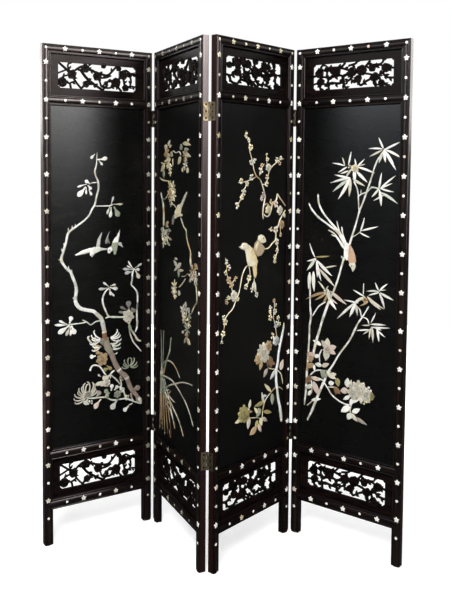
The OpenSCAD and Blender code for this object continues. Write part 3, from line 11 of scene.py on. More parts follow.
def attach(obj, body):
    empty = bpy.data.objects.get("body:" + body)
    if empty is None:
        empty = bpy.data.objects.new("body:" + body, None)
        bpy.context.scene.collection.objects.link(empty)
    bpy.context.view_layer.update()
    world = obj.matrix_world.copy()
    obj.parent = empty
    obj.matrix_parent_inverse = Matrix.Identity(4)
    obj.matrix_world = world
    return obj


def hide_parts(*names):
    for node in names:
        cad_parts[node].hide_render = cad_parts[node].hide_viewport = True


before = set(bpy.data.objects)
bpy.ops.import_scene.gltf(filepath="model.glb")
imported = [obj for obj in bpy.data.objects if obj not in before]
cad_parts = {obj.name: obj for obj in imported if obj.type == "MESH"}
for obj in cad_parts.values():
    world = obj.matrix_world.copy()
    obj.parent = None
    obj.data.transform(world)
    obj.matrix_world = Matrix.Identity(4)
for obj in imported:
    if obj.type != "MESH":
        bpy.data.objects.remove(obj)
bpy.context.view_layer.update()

PANELS = [1, 2, 3, 4]
# Starts of the random numbers, to which the panel's number is added
STUD_SEED = 100
FRET_SEED = 200
PICTURE_SEED = 300


def by_panel(*values):
    """One value for each panel, found by the panel's number."""
    return dict(zip(PANELS, values))


# Sizes are in millimetres and in each panel's own frame: x along the panel, y from the bead's
# crest towards the back, z up from the floor
MM = 0.001
HEADINGS = by_panel(30.6, -66.0, 47.0, -38.2)
PANEL_W = 438.0
SCREEN_H = 1830.0
FRAME_T = 25.4
STILE_W = 33.0
BEAD_C = 14.0
BEAD_R = 21.12
BEAD_W = 22.0
UPPER_RAIL_Z = 1632.0
LOWER_RAIL_Z = 336.0
BOTTOM_RAIL_Z = 150.0
RAIL_H = 38.0
BOARD_FACE = 11.0
TONGUE = 4.8
FRET_BACK = 19.0
FRET_T = 7.0
FRET_SIDE = 31.0
FRET_RIM = 27.0
FRET_CORNER_R = 7.0
STUD_PITCH = 66.5
# Studs of a stile above its upper rail, and of a rail on each side of its middle
STUDS_ABOVE = 2
STUDS_ASIDE = 2
FLOWER_R = 10.0
DOT_R = 5.0
STUD_RISE = 1.2
# Size of the opening in which the frets are drawn below
FRET_DRAWN = [310.0, 92.0]
# Frets of each panel: width of the branches, how leafy they are, size of the blossoms
FRET_STROKE = by_panel(1.25, 1.5, 1.3, 1.3)
FRET_LEAFY = by_panel(0.5, 0.9, 0.7, 0.7)
FRET_BLOOM = by_panel(1.05, 1.15, 1.2, 1.2)
# How far each picture is moved along its board
PICTURE_SHIFT = by_panel(2.0, -10.0, 5.0, -2.0)

# Frets. A rosette or blossom is x, z and radius, and a point of a branch is x, z and width
ROSETTES_A = [[17, 21, 18]]
BLOSSOMS_A = [
    [53, 50, 15], [105, 76, 15], [153, 50, 15], [108, 19, 12], [228, 31, 17], [258, 62, 17],
    [188, 27, 7], [268, 14, 12], [178, 90, 9], [240, 84, 9]
]
BRANCHES_A = [
    [[0, 93, 6], [35, 66, 7], [53, 50, 8]],
    [[0, 52, 5], [32, 66, 5]],
    [[17, 39, 6], [30, 45, 5], [53, 50, 6]],
    [[53, 50, 7], [70, 24, 6], [92, 0, 6]],
    [[48, 55, 6], [38, 80, 5], [46, 95, 6]],
    [[53, 50, 6], [66, 66, 6], [92, 82, 7], [105, 76, 6]],
    [[86, 72, 8], [105, 48, 8], [126, 30, 8], [166, 6, 7], [180, 0, 7]],
    [[105, 76, 8], [140, 68, 7], [153, 50, 8]],
    [[120, 88, 6], [130, 95, 6]],
    [[145, 66, 7], [176, 58, 7], [200, 60, 6], [232, 92, 6]],
    [[153, 50, 7], [166, 46, 6], [188, 48, 6], [208, 56, 6]],
    [[160, 40, 5], [166, 26, 5], [172, 14, 6], [200, 10, 6], [222, 20, 6]],
    [[206, 40, 6], [228, 31, 8]],
    [[228, 31, 8], [242, 46, 8], [258, 62, 8]],
    [[258, 62, 7], [288, 64, 6], [310, 68, 6]],
    [[258, 62, 6], [268, 80, 6], [286, 72, 5], [296, 66, 5]],
    [[228, 31, 7], [240, 14, 6], [252, 0, 7]],
    [[268, 14, 7], [262, 40, 6], [258, 62, 6]],
    [[268, 14, 6], [290, 22, 5], [310, 20, 5]],
    [[288, 22, 5], [292, 40, 6], [288, 64, 5]],
    [[17, 21, 6], [44, 18, 6], [50, 0, 6]],
    [[44, 18, 5], [66, 28, 5]],
    [[92, 4, 6], [108, 19, 7], [130, 28, 6]],
    [[172, 14, 5], [188, 27, 5], [206, 42, 6]]
]
ROSETTES_B = [[262, 58, 14]]
BLOSSOMS_B = [
    [52, 76, 14], [88, 84, 12], [158, 50, 16], [118, 74, 12], [108, 34, 13], [62, 42, 12],
    [212, 74, 13], [222, 38, 13], [160, 88, 10], [284, 8, 11], [18, 62, 9]
]
BRANCHES_B = [
    [[0, 64, 6], [18, 62, 6], [40, 70, 6], [52, 76, 6]],
    [[0, 30, 6], [24, 28, 6], [44, 34, 6], [62, 42, 7]],
    [[52, 76, 7], [56, 60, 6], [62, 42, 7]],
    [[20, 28, 6], [30, 8, 6], [62, 4, 6], [84, 18, 7], [130, 10, 6], [142, 0, 6]],
    [[62, 42, 7], [86, 28, 6], [108, 34, 6]],
    [[62, 42, 6], [72, 62, 6], [88, 84, 6]],
    [[88, 84, 7], [96, 64, 6], [118, 74, 7]],
    [[96, 60, 7], [108, 34, 7], [130, 22, 7], [170, 0, 7]],
    [[118, 74, 6], [136, 60, 6], [158, 50, 7]],
    [[108, 38, 6], [132, 44, 6], [158, 50, 6]],
    [[158, 50, 8], [156, 72, 6], [160, 88, 6]],
    [[158, 50, 7], [162, 26, 6], [184, 10, 7], [214, 12, 6], [252, 2, 7]],
    [[158, 50, 6], [182, 40, 6], [186, 62, 6], [212, 74, 6]],
    [[182, 40, 7], [200, 46, 6], [222, 38, 7]],
    [[190, 64, 6], [244, 50, 6], [262, 58, 6]],
    [[212, 74, 7], [206, 92, 6]],
    [[222, 38, 7], [236, 20, 6], [214, 12, 6]],
    [[222, 38, 6], [250, 44, 6], [262, 58, 6]],
    [[262, 58, 7], [274, 82, 6], [268, 94, 6]],
    [[262, 58, 7], [286, 52, 6], [310, 54, 6]],
    [[276, 50, 6], [278, 26, 6], [284, 8, 6]],
    [[284, 8, 6], [310, 14, 6]],
    [[240, 92, 6], [234, 76, 6], [246, 66, 6], [262, 58, 6]]
]
ROSETTES_C = [[154, 58, 17]]
BLOSSOMS_C = [
    [24, 60, 13], [78, 68, 11], [56, 74, 8], [30, 30, 11], [116, 26, 8], [96, 64, 10],
    [190, 60, 15], [176, 30, 11], [230, 64, 10], [242, 34, 12], [282, 62, 13], [266, 10, 10]
]
BRANCHES_C = [
    [[0, 50, 6], [24, 60, 7], [30, 84, 6], [44, 92, 6]],
    [[24, 60, 7], [30, 30, 7], [26, 10, 6], [30, 0, 6]],
    [[0, 22, 5], [30, 30, 6]],
    [[28, 48, 6], [70, 44, 6], [106, 48, 6], [122, 44, 6], [138, 56, 7]],
    [[24, 66, 6], [56, 74, 6], [80, 78, 6], [110, 78, 6], [126, 92, 6]],
    [[56, 74, 6], [52, 46, 5]],
    [[78, 68, 6], [80, 46, 5]],
    [[96, 64, 6], [98, 48, 5]],
    [[30, 24, 6], [54, 18, 6], [62, 4, 6], [60, 0, 6]],
    [[60, 10, 6], [70, 24, 6], [100, 20, 7], [116, 26, 7], [120, 42, 6]],
    [[54, 20, 5], [64, 44, 5]],
    [[116, 26, 6], [126, 6, 6], [134, 0, 6]],
    [[110, 74, 6], [136, 66, 7], [154, 58, 7]],
    [[140, 80, 6], [166, 86, 6], [172, 94, 6]],
    [[154, 58, 7], [148, 34, 6], [130, 24, 6]],
    [[148, 34, 6], [162, 20, 6], [176, 30, 6]],
    [[154, 58, 7], [190, 60, 7]],
    [[190, 60, 7], [176, 30, 6]],
    [[176, 30, 6], [186, 8, 6], [210, 22, 6], [242, 34, 7]],
    [[190, 60, 6], [206, 74, 6], [222, 92, 6]],
    [[192, 50, 6], [222, 44, 6], [242, 34, 6]],
    [[206, 72, 6], [230, 64, 6], [256, 74, 6], [282, 62, 6]],
    [[218, 76, 6], [262, 78, 5], [272, 94, 6]],
    [[242, 34, 6], [268, 46, 6], [282, 62, 7]],
    [[242, 34, 6], [236, 14, 6], [246, 0, 6]],
    [[254, 38, 6], [266, 10, 6], [284, 4, 6], [296, 0, 6]],
    [[268, 46, 6], [284, 30, 6], [310, 26, 6]],
    [[282, 62, 6], [310, 60, 6]]
]

# Pictures. A point of a stem is x, z and width, a leaf is x, z, tip x, tip z and width, and a
# flower is x, z, radius and number of petals. A figure is a list of outlines of x, z

# Panel 1: an old tree with spoon-shaped leaves, two swallows and curled flowers at its foot
STEMS_1 = [
    [[212, 1448, 2], [210, 1420, 3], [208, 1398, 5], [202, 1378, 6], [206, 1360, 6],
     [214, 1343, 7], [217, 1325, 8], [216, 1308, 8], [209, 1285, 7], [202, 1255, 7],
     [190, 1235, 7], [180, 1215, 7], [163, 1198, 7], [140, 1182, 7], [118, 1168, 8],
     [102, 1157, 9], [94, 1145, 9], [88, 1118, 9], [82, 1100, 9], [76, 1080, 10],
     [70, 1060, 13], [72, 1045, 12], [88, 1022, 10], [104, 1008, 12], [112, 990, 12],
     [122, 965, 13], [127, 945, 14], [126, 925, 14], [123, 905, 15], [128, 885, 16],
     [145, 868, 15], [170, 860, 15], [195, 853, 15], [210, 840, 16], [225, 825, 17],
     [233, 805, 19], [238, 780, 19], [240, 765, 20], [242, 745, 23], [248, 722, 27],
     [258, 700, 26], [270, 680, 22], [280, 655, 21], [292, 630, 22], [310, 605, 20],
     [328, 590, 22], [340, 565, 20], [350, 540, 20], [365, 520, 18], [385, 495, 14],
     [397, 470, 9]],
    [[96, 1158, 6], [98, 1171, 3]], [[112, 1164, 5], [112, 1178, 3]],
    [[124, 1171, 5], [124, 1184, 3]], [[84, 1100, 6], [78, 1115, 3]],
    [[74, 1080, 6], [71, 1096, 3]], [[98, 1012, 6], [97, 1030, 3]],
    [[110, 995, 6], [110, 1016, 3]], [[70, 1056, 8], [58, 1054, 4]],
    [[124, 908, 8], [112, 910, 4]],
    [[212, 1336, 4], [186, 1334, 3]], [[201, 1248, 3], [262, 1248, 5], [275, 1254, 3]],
    [[210, 1420, 4], [228, 1424, 4]],
    [[228, 815, 6], [205, 813, 5], [185, 803, 5], [168, 815, 6], [150, 813, 5], [98, 812, 5]],
    [[168, 816, 5], [150, 825, 4]],
    [[310, 820, 5], [262, 826, 6], [246, 850, 7], [234, 880, 8], [234, 903, 7], [246, 925, 6],
     [260, 936, 6]],
    [[370, 755, 5], [378, 780, 8], [377, 830, 8], [380, 880, 7], [378, 910, 7], [365, 930, 6],
     [353, 942, 6], [357, 965, 6], [358, 985, 7], [366, 1005, 5]],
    [[244, 822, 5], [262, 826, 6], [310, 820, 7], [345, 817, 6], [345, 790, 7],
     [352, 768, 8], [368, 745, 8], [380, 725, 8], [396, 718, 5]],
    [[343, 788, 6], [347, 757, 6], [360, 722, 6], [377, 700, 6], [397, 677, 4]],
    [[318, 812, 4], [335, 800, 5], [345, 788, 6]],
    [[228, 714, 7], [195, 728, 7], [177, 745, 7], [173, 757, 7], [181, 760, 4]],
    [[206, 728, 5], [199, 742, 5], [202, 754, 4], [208, 755, 3]],
    [[262, 722, 6], [290, 722, 6], [295, 734, 4]], [[262, 703, 6], [288, 698, 6], [304, 701, 5]],
    [[255, 690, 5], [284, 680, 5], [295, 686, 4]],
    [[182, 636, 8], [195, 648, 6], [220, 640, 6], [240, 612, 6], [250, 600, 5]],
    [[264, 588, 6], [268, 608, 7], [284, 618, 5]],
    [[165, 545, 5], [176, 525, 6], [240, 519, 6], [275, 503, 6], [330, 500, 6], [360, 486, 6],
     [396, 470, 6]],
    [[318, 600, 7], [305, 585, 7], [310, 560, 6], [303, 520, 6]],
    [[318, 540, 6], [330, 505, 6], [350, 490, 5]], [[352, 520, 8], [355, 500, 8], [362, 482, 6]],
    [[268, 600, 5], [290, 580, 6], [305, 560, 6]], [[342, 472, 5], [360, 478, 4]]
]
LEAVES_1 = [
    [202, 1441, 186, 1424, 12], [216, 1420, 253, 1428, 17], [220, 1416, 234, 1401, 11],
    [184, 1330, 163, 1343, 15], [170, 1330, 133, 1319, 9], [166, 1320, 134, 1285, 23],
    [169, 1318, 168, 1292, 9], [174, 1326, 189, 1310, 14], [178, 1310, 190, 1288, 11],
    [268, 1252, 279, 1283, 9], [276, 1254, 317, 1254, 9], [263, 1245, 252, 1217, 11],
    [268, 1243, 264, 1204, 15], [280, 1244, 300, 1206, 24],
    [100, 812, 43, 816, 11], [92, 814, 60, 830, 10], [100, 816, 108, 842, 21],
    [100, 810, 56, 784, 21], [102, 806, 86, 772, 13], [104, 806, 104, 770, 10],
    [108, 808, 122, 775, 22],
    [258, 937, 217, 935, 12], [260, 940, 235, 959, 9], [262, 938, 296, 931, 15],
    [264, 944, 288, 948, 9], [262, 932, 267, 908, 12], [268, 922, 281, 903, 9],
    [364, 1000, 340, 1034, 8], [360, 1000, 334, 1017, 6], [360, 1000, 318, 1005, 12],
    [360, 992, 326, 988, 16], [368, 1006, 398, 1022, 9], [366, 1000, 389, 999, 14],
    [370, 996, 387, 964, 17],
    [343, 846, 341, 880, 25], [340, 842, 307, 860, 13], [338, 836, 300, 841, 11],
    [346, 834, 372, 842, 16], [344, 840, 322, 826, 20], [350, 834, 360, 852, 14],
    [204, 683, 181, 682, 19], [216, 712, 198, 706, 15], [232, 690, 205, 695, 16],
    [262, 632, 234, 622, 18], [250, 640, 270, 622, 16], [188, 640, 180, 628, 10],
    [264, 604, 242, 588, 20], [258, 596, 232, 592, 22], [252, 586, 204, 572, 17],
    [262, 584, 224, 565, 15], [226, 600, 214, 610, 10],
    [262, 530, 240, 546, 20], [258, 520, 246, 530, 22], [268, 540, 271, 565, 18],
    [280, 540, 296, 556, 16], [300, 530, 285, 520, 18], [300, 552, 320, 530, 26],
    [206, 524, 222, 546, 22], [172, 524, 160, 502, 24], [226, 514, 198, 482, 22],
    [292, 500, 268, 468, 26], [342, 470, 320, 452, 20], [352, 530, 391, 537, 24],
    [362, 520, 396, 474, 26]
]
BLOOMS_1 = [
    [240, 735, 20, 7], [230, 668, 27, 7], [172, 538, 16, 6], [340, 822, 27, 7],
    [319, 584, 14, 6], [250, 573, 16, 6], [293, 524, 15, 6], [334, 504, 13, 5],
    [182, 506, 12, 5]
]
# Curled flowers: x, z, reach, number of petals, first and last direction in degrees
CURLS_1 = [
    [262, 744, 48, 4, -20, 38], [228, 744, 48, 4, 142, 200], [268, 716, 44, 3, -24, 22],
    [226, 716, 42, 3, 158, 206], [170, 532, 54, 13, 14, 206], [346, 622, 38, 8, -6, 186]
]
FIGURES_1 = [
    # first swallow: far wing, near wing, tail, body and head
    [[206, 1092], [212, 1122], [229, 1149], [231, 1147], [224, 1120], [221, 1092]],
    [[196, 1093], [180, 1092], [150, 1084], [122, 1069], [128, 1066], [160, 1071], [192, 1078]],
    [[222, 1092], [256, 1087], [248, 1082], [222, 1080]],
    [[184, 1084], [196, 1096], [222, 1095], [230, 1088], [222, 1079], [200, 1070], [188, 1070]],
    [[182, 1078], [181, 1066], [190, 1057], [198, 1066], [200, 1078], [190, 1084]],
    # second swallow: lone wing, near wing, tail, body and head
    [[264, 1106], [256, 1128], [262, 1152], [252, 1136], [243, 1112], [245, 1104], [254, 1107]],
    [[272, 1108], [282, 1124], [292, 1132], [304, 1157], [302, 1134], [297, 1110], [286, 1100]],
    [[296, 1108], [310, 1108], [317, 1088], [308, 1094], [298, 1098]],
    [[268, 1094], [274, 1110], [296, 1110], [294, 1090], [288, 1064], [281, 1062], [276, 1078]],
    [[254, 1088], [268, 1094], [274, 1080], [262, 1068], [254, 1070]]
]

# Panel 2: a hanging vine, a diving swallow and blades of grass
STEMS_2 = [
    [[160, 1440, 6], [180, 1452, 7], [205, 1446, 6], [235, 1449, 7], [252, 1436, 6]],
    [[60, 1410, 7], [110, 1408, 6], [140, 1412, 6]], [[175, 1425, 7], [178, 1398, 6]],
    [[45, 1356, 6], [75, 1346, 9], [110, 1343, 8], [138, 1340, 6], [150, 1318, 6]],
    [[60, 1298, 9], [72, 1276, 9], [85, 1250, 12], [90, 1210, 14], [90, 1172, 12]],
    [[74, 1275, 5], [105, 1276, 6], [135, 1296, 6]],
    [[145, 1258, 6], [188, 1256, 6], [206, 1246, 4]],
    [[250, 1214, 7], [270, 1192, 7], [282, 1180, 6], [300, 1172, 8], [308, 1142, 7],
     [325, 1117, 8], [340, 1098, 8], [342, 1062, 12], [352, 1040, 8]],
    [[318, 1020, 5], [290, 1007, 5], [262, 1003, 6]],
    [[298, 1000, 5], [265, 975, 7], [238, 960, 6]],
    [[384, 996, 8], [394, 965, 9], [398, 934, 10], [376, 914, 7], [352, 886, 7]],
    [[70, 560, 6], [69, 655, 6], [66, 770, 3]], [[82, 600, 5], [88, 700, 5], [92, 775, 3]],
    [[62, 610, 5], [60, 520, 5], [57, 430, 4], [54, 380, 2]],
    [[72, 610, 5], [75, 520, 6], [77, 440, 5], [80, 384, 2]],
    [[78, 600, 5], [92, 520, 6], [101, 430, 5], [106, 372, 2]],
    [[86, 590, 5], [108, 520, 6], [126, 440, 5], [136, 384, 2]],
    [[90, 585, 5], [128, 510, 6], [156, 440, 5], [170, 396, 2]],
    [[66, 600, 5], [66, 500, 5], [66, 420, 3]], [[100, 590, 5], [150, 520, 5], [196, 440, 3]],
    [[106, 636, 9], [130, 676, 9], [152, 708, 8], [166, 762, 6]],
    [[70, 628, 10], [104, 655, 9], [140, 668, 8], [180, 668, 7], [215, 655, 6], [250, 630, 4]],
    [[60, 590, 10], [110, 600, 9], [170, 602, 8], [214, 592, 7], [260, 575, 7], [310, 550, 7],
     [348, 516, 6], [370, 488, 4]],
    [[80, 548, 9], [120, 560, 9], [160, 580, 9], [210, 598, 8], [260, 616, 7], [310, 627, 6],
     [362, 632, 4]],
    [[66, 530, 9], [110, 545, 8], [150, 560, 6]],
    [[100, 540, 9], [150, 522, 9], [190, 500, 8], [230, 478, 7], [262, 452, 7], [284, 424, 5]],
    [[120, 500, 9], [160, 486, 9], [186, 460, 8], [206, 428, 6]],
    [[130, 540, 6], [172, 530, 7], [200, 526, 4]]
]
LEAVES_2 = [
    [122, 1462, 92, 1474, 24], [128, 1452, 88, 1440, 18], [126, 1474, 148, 1492, 16],
    [140, 1468, 162, 1474, 14], [150, 1446, 176, 1436, 22], [134, 1420, 92, 1416, 12],
    [250, 1430, 224, 1404, 24], [262, 1470, 240, 1460, 24], [268, 1478, 336, 1470, 16],
    [280, 1458, 320, 1454, 12], [284, 1440, 336, 1430, 16], [262, 1392, 270, 1376, 14],
    [300, 1386, 320, 1378, 22], [306, 1486, 324, 1490, 12],
    [98, 1402, 58, 1378, 26], [84, 1384, 88, 1354, 22],
    [110, 1170, 136, 1192, 24], [128, 1160, 158, 1158, 16], [140, 1130, 166, 1126, 12],
    [124, 1112, 150, 1104, 14], [90, 1160, 54, 1158, 14],
    [226, 1034, 186, 1052, 18], [228, 1034, 192, 1014, 12], [228, 1030, 256, 1050, 20],
    [232, 1026, 236, 996, 18], [236, 1022, 278, 1026, 12], [196, 1060, 222, 1060, 10],
    [230, 940, 250, 938, 22], [384, 1060, 402, 1044, 14], [374, 1050, 388, 1062, 18],
    [370, 990, 402, 994, 14], [298, 784, 288, 766, 14], [312, 784, 342, 772, 22],
    [284, 806, 264, 800, 12], [124, 530, 166, 560, 9], [130, 512, 176, 506, 9],
    [84, 610, 62, 590, 12], [90, 600, 110, 640, 10], [166, 380, 150, 410, 4]
]
BLOOMS_2 = [
    [120, 1446, 26, 7], [138, 1408, 28, 7], [290, 1436, 24, 7], [288, 1402, 20, 6],
    [152, 1322, 24, 7], [178, 1316, 28, 7], [148, 1296, 26, 7], [184, 1290, 24, 7],
    [162, 1270, 20, 6], [152, 1378, 18, 6], [88, 1144, 26, 7], [118, 1136, 28, 7],
    [92, 1112, 22, 6], [126, 1178, 14, 5], [360, 1030, 30, 8], [384, 1016, 24, 7],
    [346, 1010, 22, 6], [196, 956, 26, 7], [204, 932, 20, 6], [182, 940, 16, 6],
    [276, 882, 22, 6], [306, 892, 24, 6], [334, 878, 20, 6], [290, 852, 24, 7],
    [326, 848, 20, 6], [312, 822, 24, 6], [310, 794, 18, 6]
]
FIGURES_2 = [
    # diving swallow: long wing, far wing, tail, body and head
    [[234, 1250], [262, 1270], [288, 1296], [306, 1308], [306, 1302], [284, 1276], [256, 1246]],
    [[212, 1222], [184, 1220], [170, 1204], [172, 1184], [182, 1184], [192, 1202], [214, 1212]],
    [[250, 1236], [252, 1228], [268, 1227], [264, 1219], [242, 1218]],
    [[214, 1244], [224, 1256], [246, 1262], [256, 1244], [250, 1226], [236, 1216], [214, 1212]],
    [[204, 1234], [214, 1244], [220, 1226], [214, 1210], [198, 1206]]
]

# Panel 3: plum blossom, a pair of perched birds, a white trunk and camellias
STEMS_3 = [
    [[164, 1522, 3], [168, 1505, 5], [182, 1488, 5], [182, 1468, 5], [187, 1448, 5], [198, 1424, 6],
     [206, 1400, 6], [212, 1382, 6], [226, 1363, 7], [246, 1352, 6], [258, 1334, 7],
     [268, 1312, 9], [276, 1292, 10], [272, 1272, 11], [266, 1250, 9], [264, 1226, 9],
     [268, 1209, 10]],
    [[224, 1362, 5], [197, 1352, 6], [165, 1345, 5], [124, 1341, 4]],
    [[172, 1338, 5], [156, 1314, 6], [142, 1290, 6], [126, 1268, 5], [112, 1254, 4]],
    [[262, 1334, 6], [284, 1336, 6], [292, 1362, 6], [302, 1385, 7], [322, 1402, 6],
     [345, 1414, 6], [366, 1424, 5], [390, 1427, 3]],
    [[243, 1364, 4], [247, 1384, 5], [270, 1408, 4]], [[290, 1395, 5], [284, 1418, 4], [284, 1442, 4]],
    [[270, 1226, 8], [284, 1218, 8], [300, 1220, 8], [314, 1240, 8], [320, 1262, 9],
     [344, 1276, 10], [350, 1298, 7], [364, 1284, 7], [384, 1268, 8], [404, 1250, 5]],
    [[270, 1258, 8], [286, 1264, 6], [304, 1256, 6]],
    [[404, 1240, 4], [386, 1222, 8], [370, 1204, 9], [358, 1182, 9], [346, 1160, 9],
     [341, 1130, 8], [322, 1117, 8], [300, 1102, 7], [272, 1100, 6]],
    [[342, 1132, 7], [352, 1112, 7], [356, 1090, 7], [346, 1070, 6], [340, 1044, 5]],
    [[336, 1164, 5], [316, 1170, 5], [298, 1170, 3]], [[372, 1180, 5], [372, 1146, 4]],
    [[184, 1050, 7], [166, 1040, 7], [150, 1015, 7], [142, 985, 6], [132, 955, 6],
     [116, 930, 6], [100, 905, 7], [76, 890, 6], [60, 874, 6], [54, 840, 5], [46, 815, 4],
     [42, 794, 3]],
    [[60, 1086, 3], [66, 1056, 4], [66, 1034, 4], [76, 1010, 5], [90, 990, 5], [98, 965, 5],
     [110, 945, 6]],
    [[90, 990, 5], [112, 1008, 4]], [[110, 940, 5], [80, 942, 4], [58, 940, 3]],
    [[188, 1046, 5], [194, 1016, 5], [186, 990, 5], [172, 974, 4]],
    [[218, 1000, 5], [218, 960, 5], [236, 942, 4]],
    [[404, 818, 9], [396, 785, 15], [382, 745, 16], [370, 705, 17], [364, 665, 18],
     [356, 640, 19], [356, 600, 20], [362, 570, 18], [370, 530, 19], [380, 500, 21],
     [388, 465, 22], [392, 436, 18]],
    [[374, 730, 8], [362, 745, 7], [354, 780, 7], [346, 812, 7], [336, 842, 5], [340, 870, 4],
     [342, 908, 4]],
    [[338, 836, 4], [322, 848, 4], [316, 880, 4]], [[352, 806, 4], [364, 820, 4], [372, 836, 4]],
    [[290, 702, 7], [304, 664, 6], [322, 652, 6], [360, 643, 5]],
    [[362, 640, 6], [384, 622, 6], [394, 600, 6], [399, 578, 4]],
    [[362, 576, 7], [384, 568, 6], [400, 556, 4]],
    [[364, 578, 6], [344, 572, 6], [324, 562, 6], [300, 548, 6], [286, 532, 6], [276, 505, 7],
     [272, 478, 6], [250, 456, 6]],
    [[185, 500, 4], [208, 494, 4], [236, 488, 6], [262, 480, 5]]
]
LEAVES_3 = [
    [388, 1228, 402, 1208, 16], [220, 990, 206, 958, 12], [222, 985, 230, 950, 9],
    [270, 690, 256, 660, 22], [310, 700, 326, 656, 34], [322, 676, 350, 664, 14],
    [302, 656, 280, 628, 20], [350, 642, 320, 612, 18], [384, 636, 398, 672, 28],
    [326, 566, 286, 602, 15], [332, 556, 334, 514, 22], [284, 530, 270, 574, 14],
    [286, 536, 228, 532, 18], [250, 500, 226, 528, 14], [264, 514, 240, 490, 20],
    [282, 500, 330, 486, 16], [272, 478, 304, 460, 16], [196, 532, 204, 562, 16],
    [188, 520, 216, 516, 10], [196, 500, 190, 458, 24], [150, 502, 118, 496, 15],
    [180, 530, 200, 528, 10], [250, 460, 268, 428, 18], [240, 450, 202, 434, 28],
    [246, 476, 234, 448, 20], [262, 480, 272, 450, 22], [280, 560, 300, 556, 10]
]
BLOOMS_3 = [
    [234, 938, 10, 5], [204, 960, 9, 5],
    [166, 1506, 11, 5], [180, 1490, 9, 5], [192, 1465, 12, 5], [196, 1412, 12, 5], [214, 1418, 10, 5],
    [198, 1360, 13, 5], [140, 1346, 11, 5], [172, 1337, 11, 5], [154, 1308, 13, 5],
    [144, 1290, 11, 5], [118, 1262, 13, 5], [248, 1382, 14, 5], [256, 1402, 9, 5],
    [284, 1336, 12, 5], [288, 1360, 11, 5], [294, 1394, 15, 6], [288, 1424, 9, 5],
    [284, 1441, 6, 5], [345, 1423, 11, 5], [362, 1411, 9, 5], [368, 1430, 9, 5],
    [295, 1243, 18, 6], [314, 1270, 12, 5], [342, 1260, 14, 6], [260, 1296, 12, 5],
    [256, 1282, 9, 5], [366, 1238, 18, 6], [376, 1184, 18, 7], [342, 1166, 14, 6],
    [316, 1170, 10, 5], [374, 1146, 8, 5], [350, 1122, 14, 6], [352, 1088, 11, 5],
    [340, 1066, 10, 5], [340, 1050, 9, 5], [64, 1072, 10, 5], [76, 1050, 12, 5],
    [62, 1033, 10, 5], [76, 1008, 13, 5], [92, 989, 14, 5], [115, 1008, 10, 5],
    [188, 1003, 14, 6], [172, 974, 11, 5], [104, 950, 20, 6], [126, 938, 11, 5],
    [76, 946, 9, 5], [68, 930, 8, 5], [54, 880, 10, 5], [60, 864, 13, 5], [50, 825, 12, 5],
    [43, 795, 7, 5], [338, 904, 9, 5], [347, 888, 9, 5], [318, 882, 10, 5], [314, 866, 8, 5],
    [316, 844, 13, 5], [344, 862, 12, 5], [364, 836, 10, 5], [352, 812, 14, 5],
    [372, 812, 9, 5], [330, 774, 12, 5], [352, 752, 19, 6], [275, 720, 42, 11],
    [304, 738, 24, 8], [246, 704, 22, 7], [163, 518, 32, 9], [180, 506, 18, 6],
    [250, 508, 14, 6]
]
FIGURES_3 = [
    # right bird: body, back and head
    [[213, 1104], [218, 1122], [236, 1136], [262, 1118], [276, 1106], [272, 1092], [258, 1079],
     [240, 1076], [226, 1084]],
    [[216, 1106], [222, 1122], [238, 1134], [246, 1124], [238, 1108], [226, 1092]],
    [[236, 1136], [240, 1150], [254, 1154], [268, 1150], [279, 1138], [283, 1126], [276, 1124],
     [268, 1122], [256, 1124], [246, 1130]],
    # left bird: tail, body, folded wing and head
    [[222, 1062], [238, 1060], [231, 1040], [233, 1016], [225, 999], [216, 1006], [208, 1040]],
    [[158, 1112], [186, 1120], [208, 1106], [224, 1078], [232, 1056], [214, 1042], [184, 1045],
     [175, 1064], [170, 1090]],
    [[188, 1112], [208, 1106], [226, 1078], [236, 1058], [228, 1046], [212, 1056], [198, 1078],
     [188, 1096]],
    [[130, 1118], [142, 1120], [150, 1131], [170, 1129], [184, 1119], [178, 1108], [160, 1104],
     [146, 1108]]
]

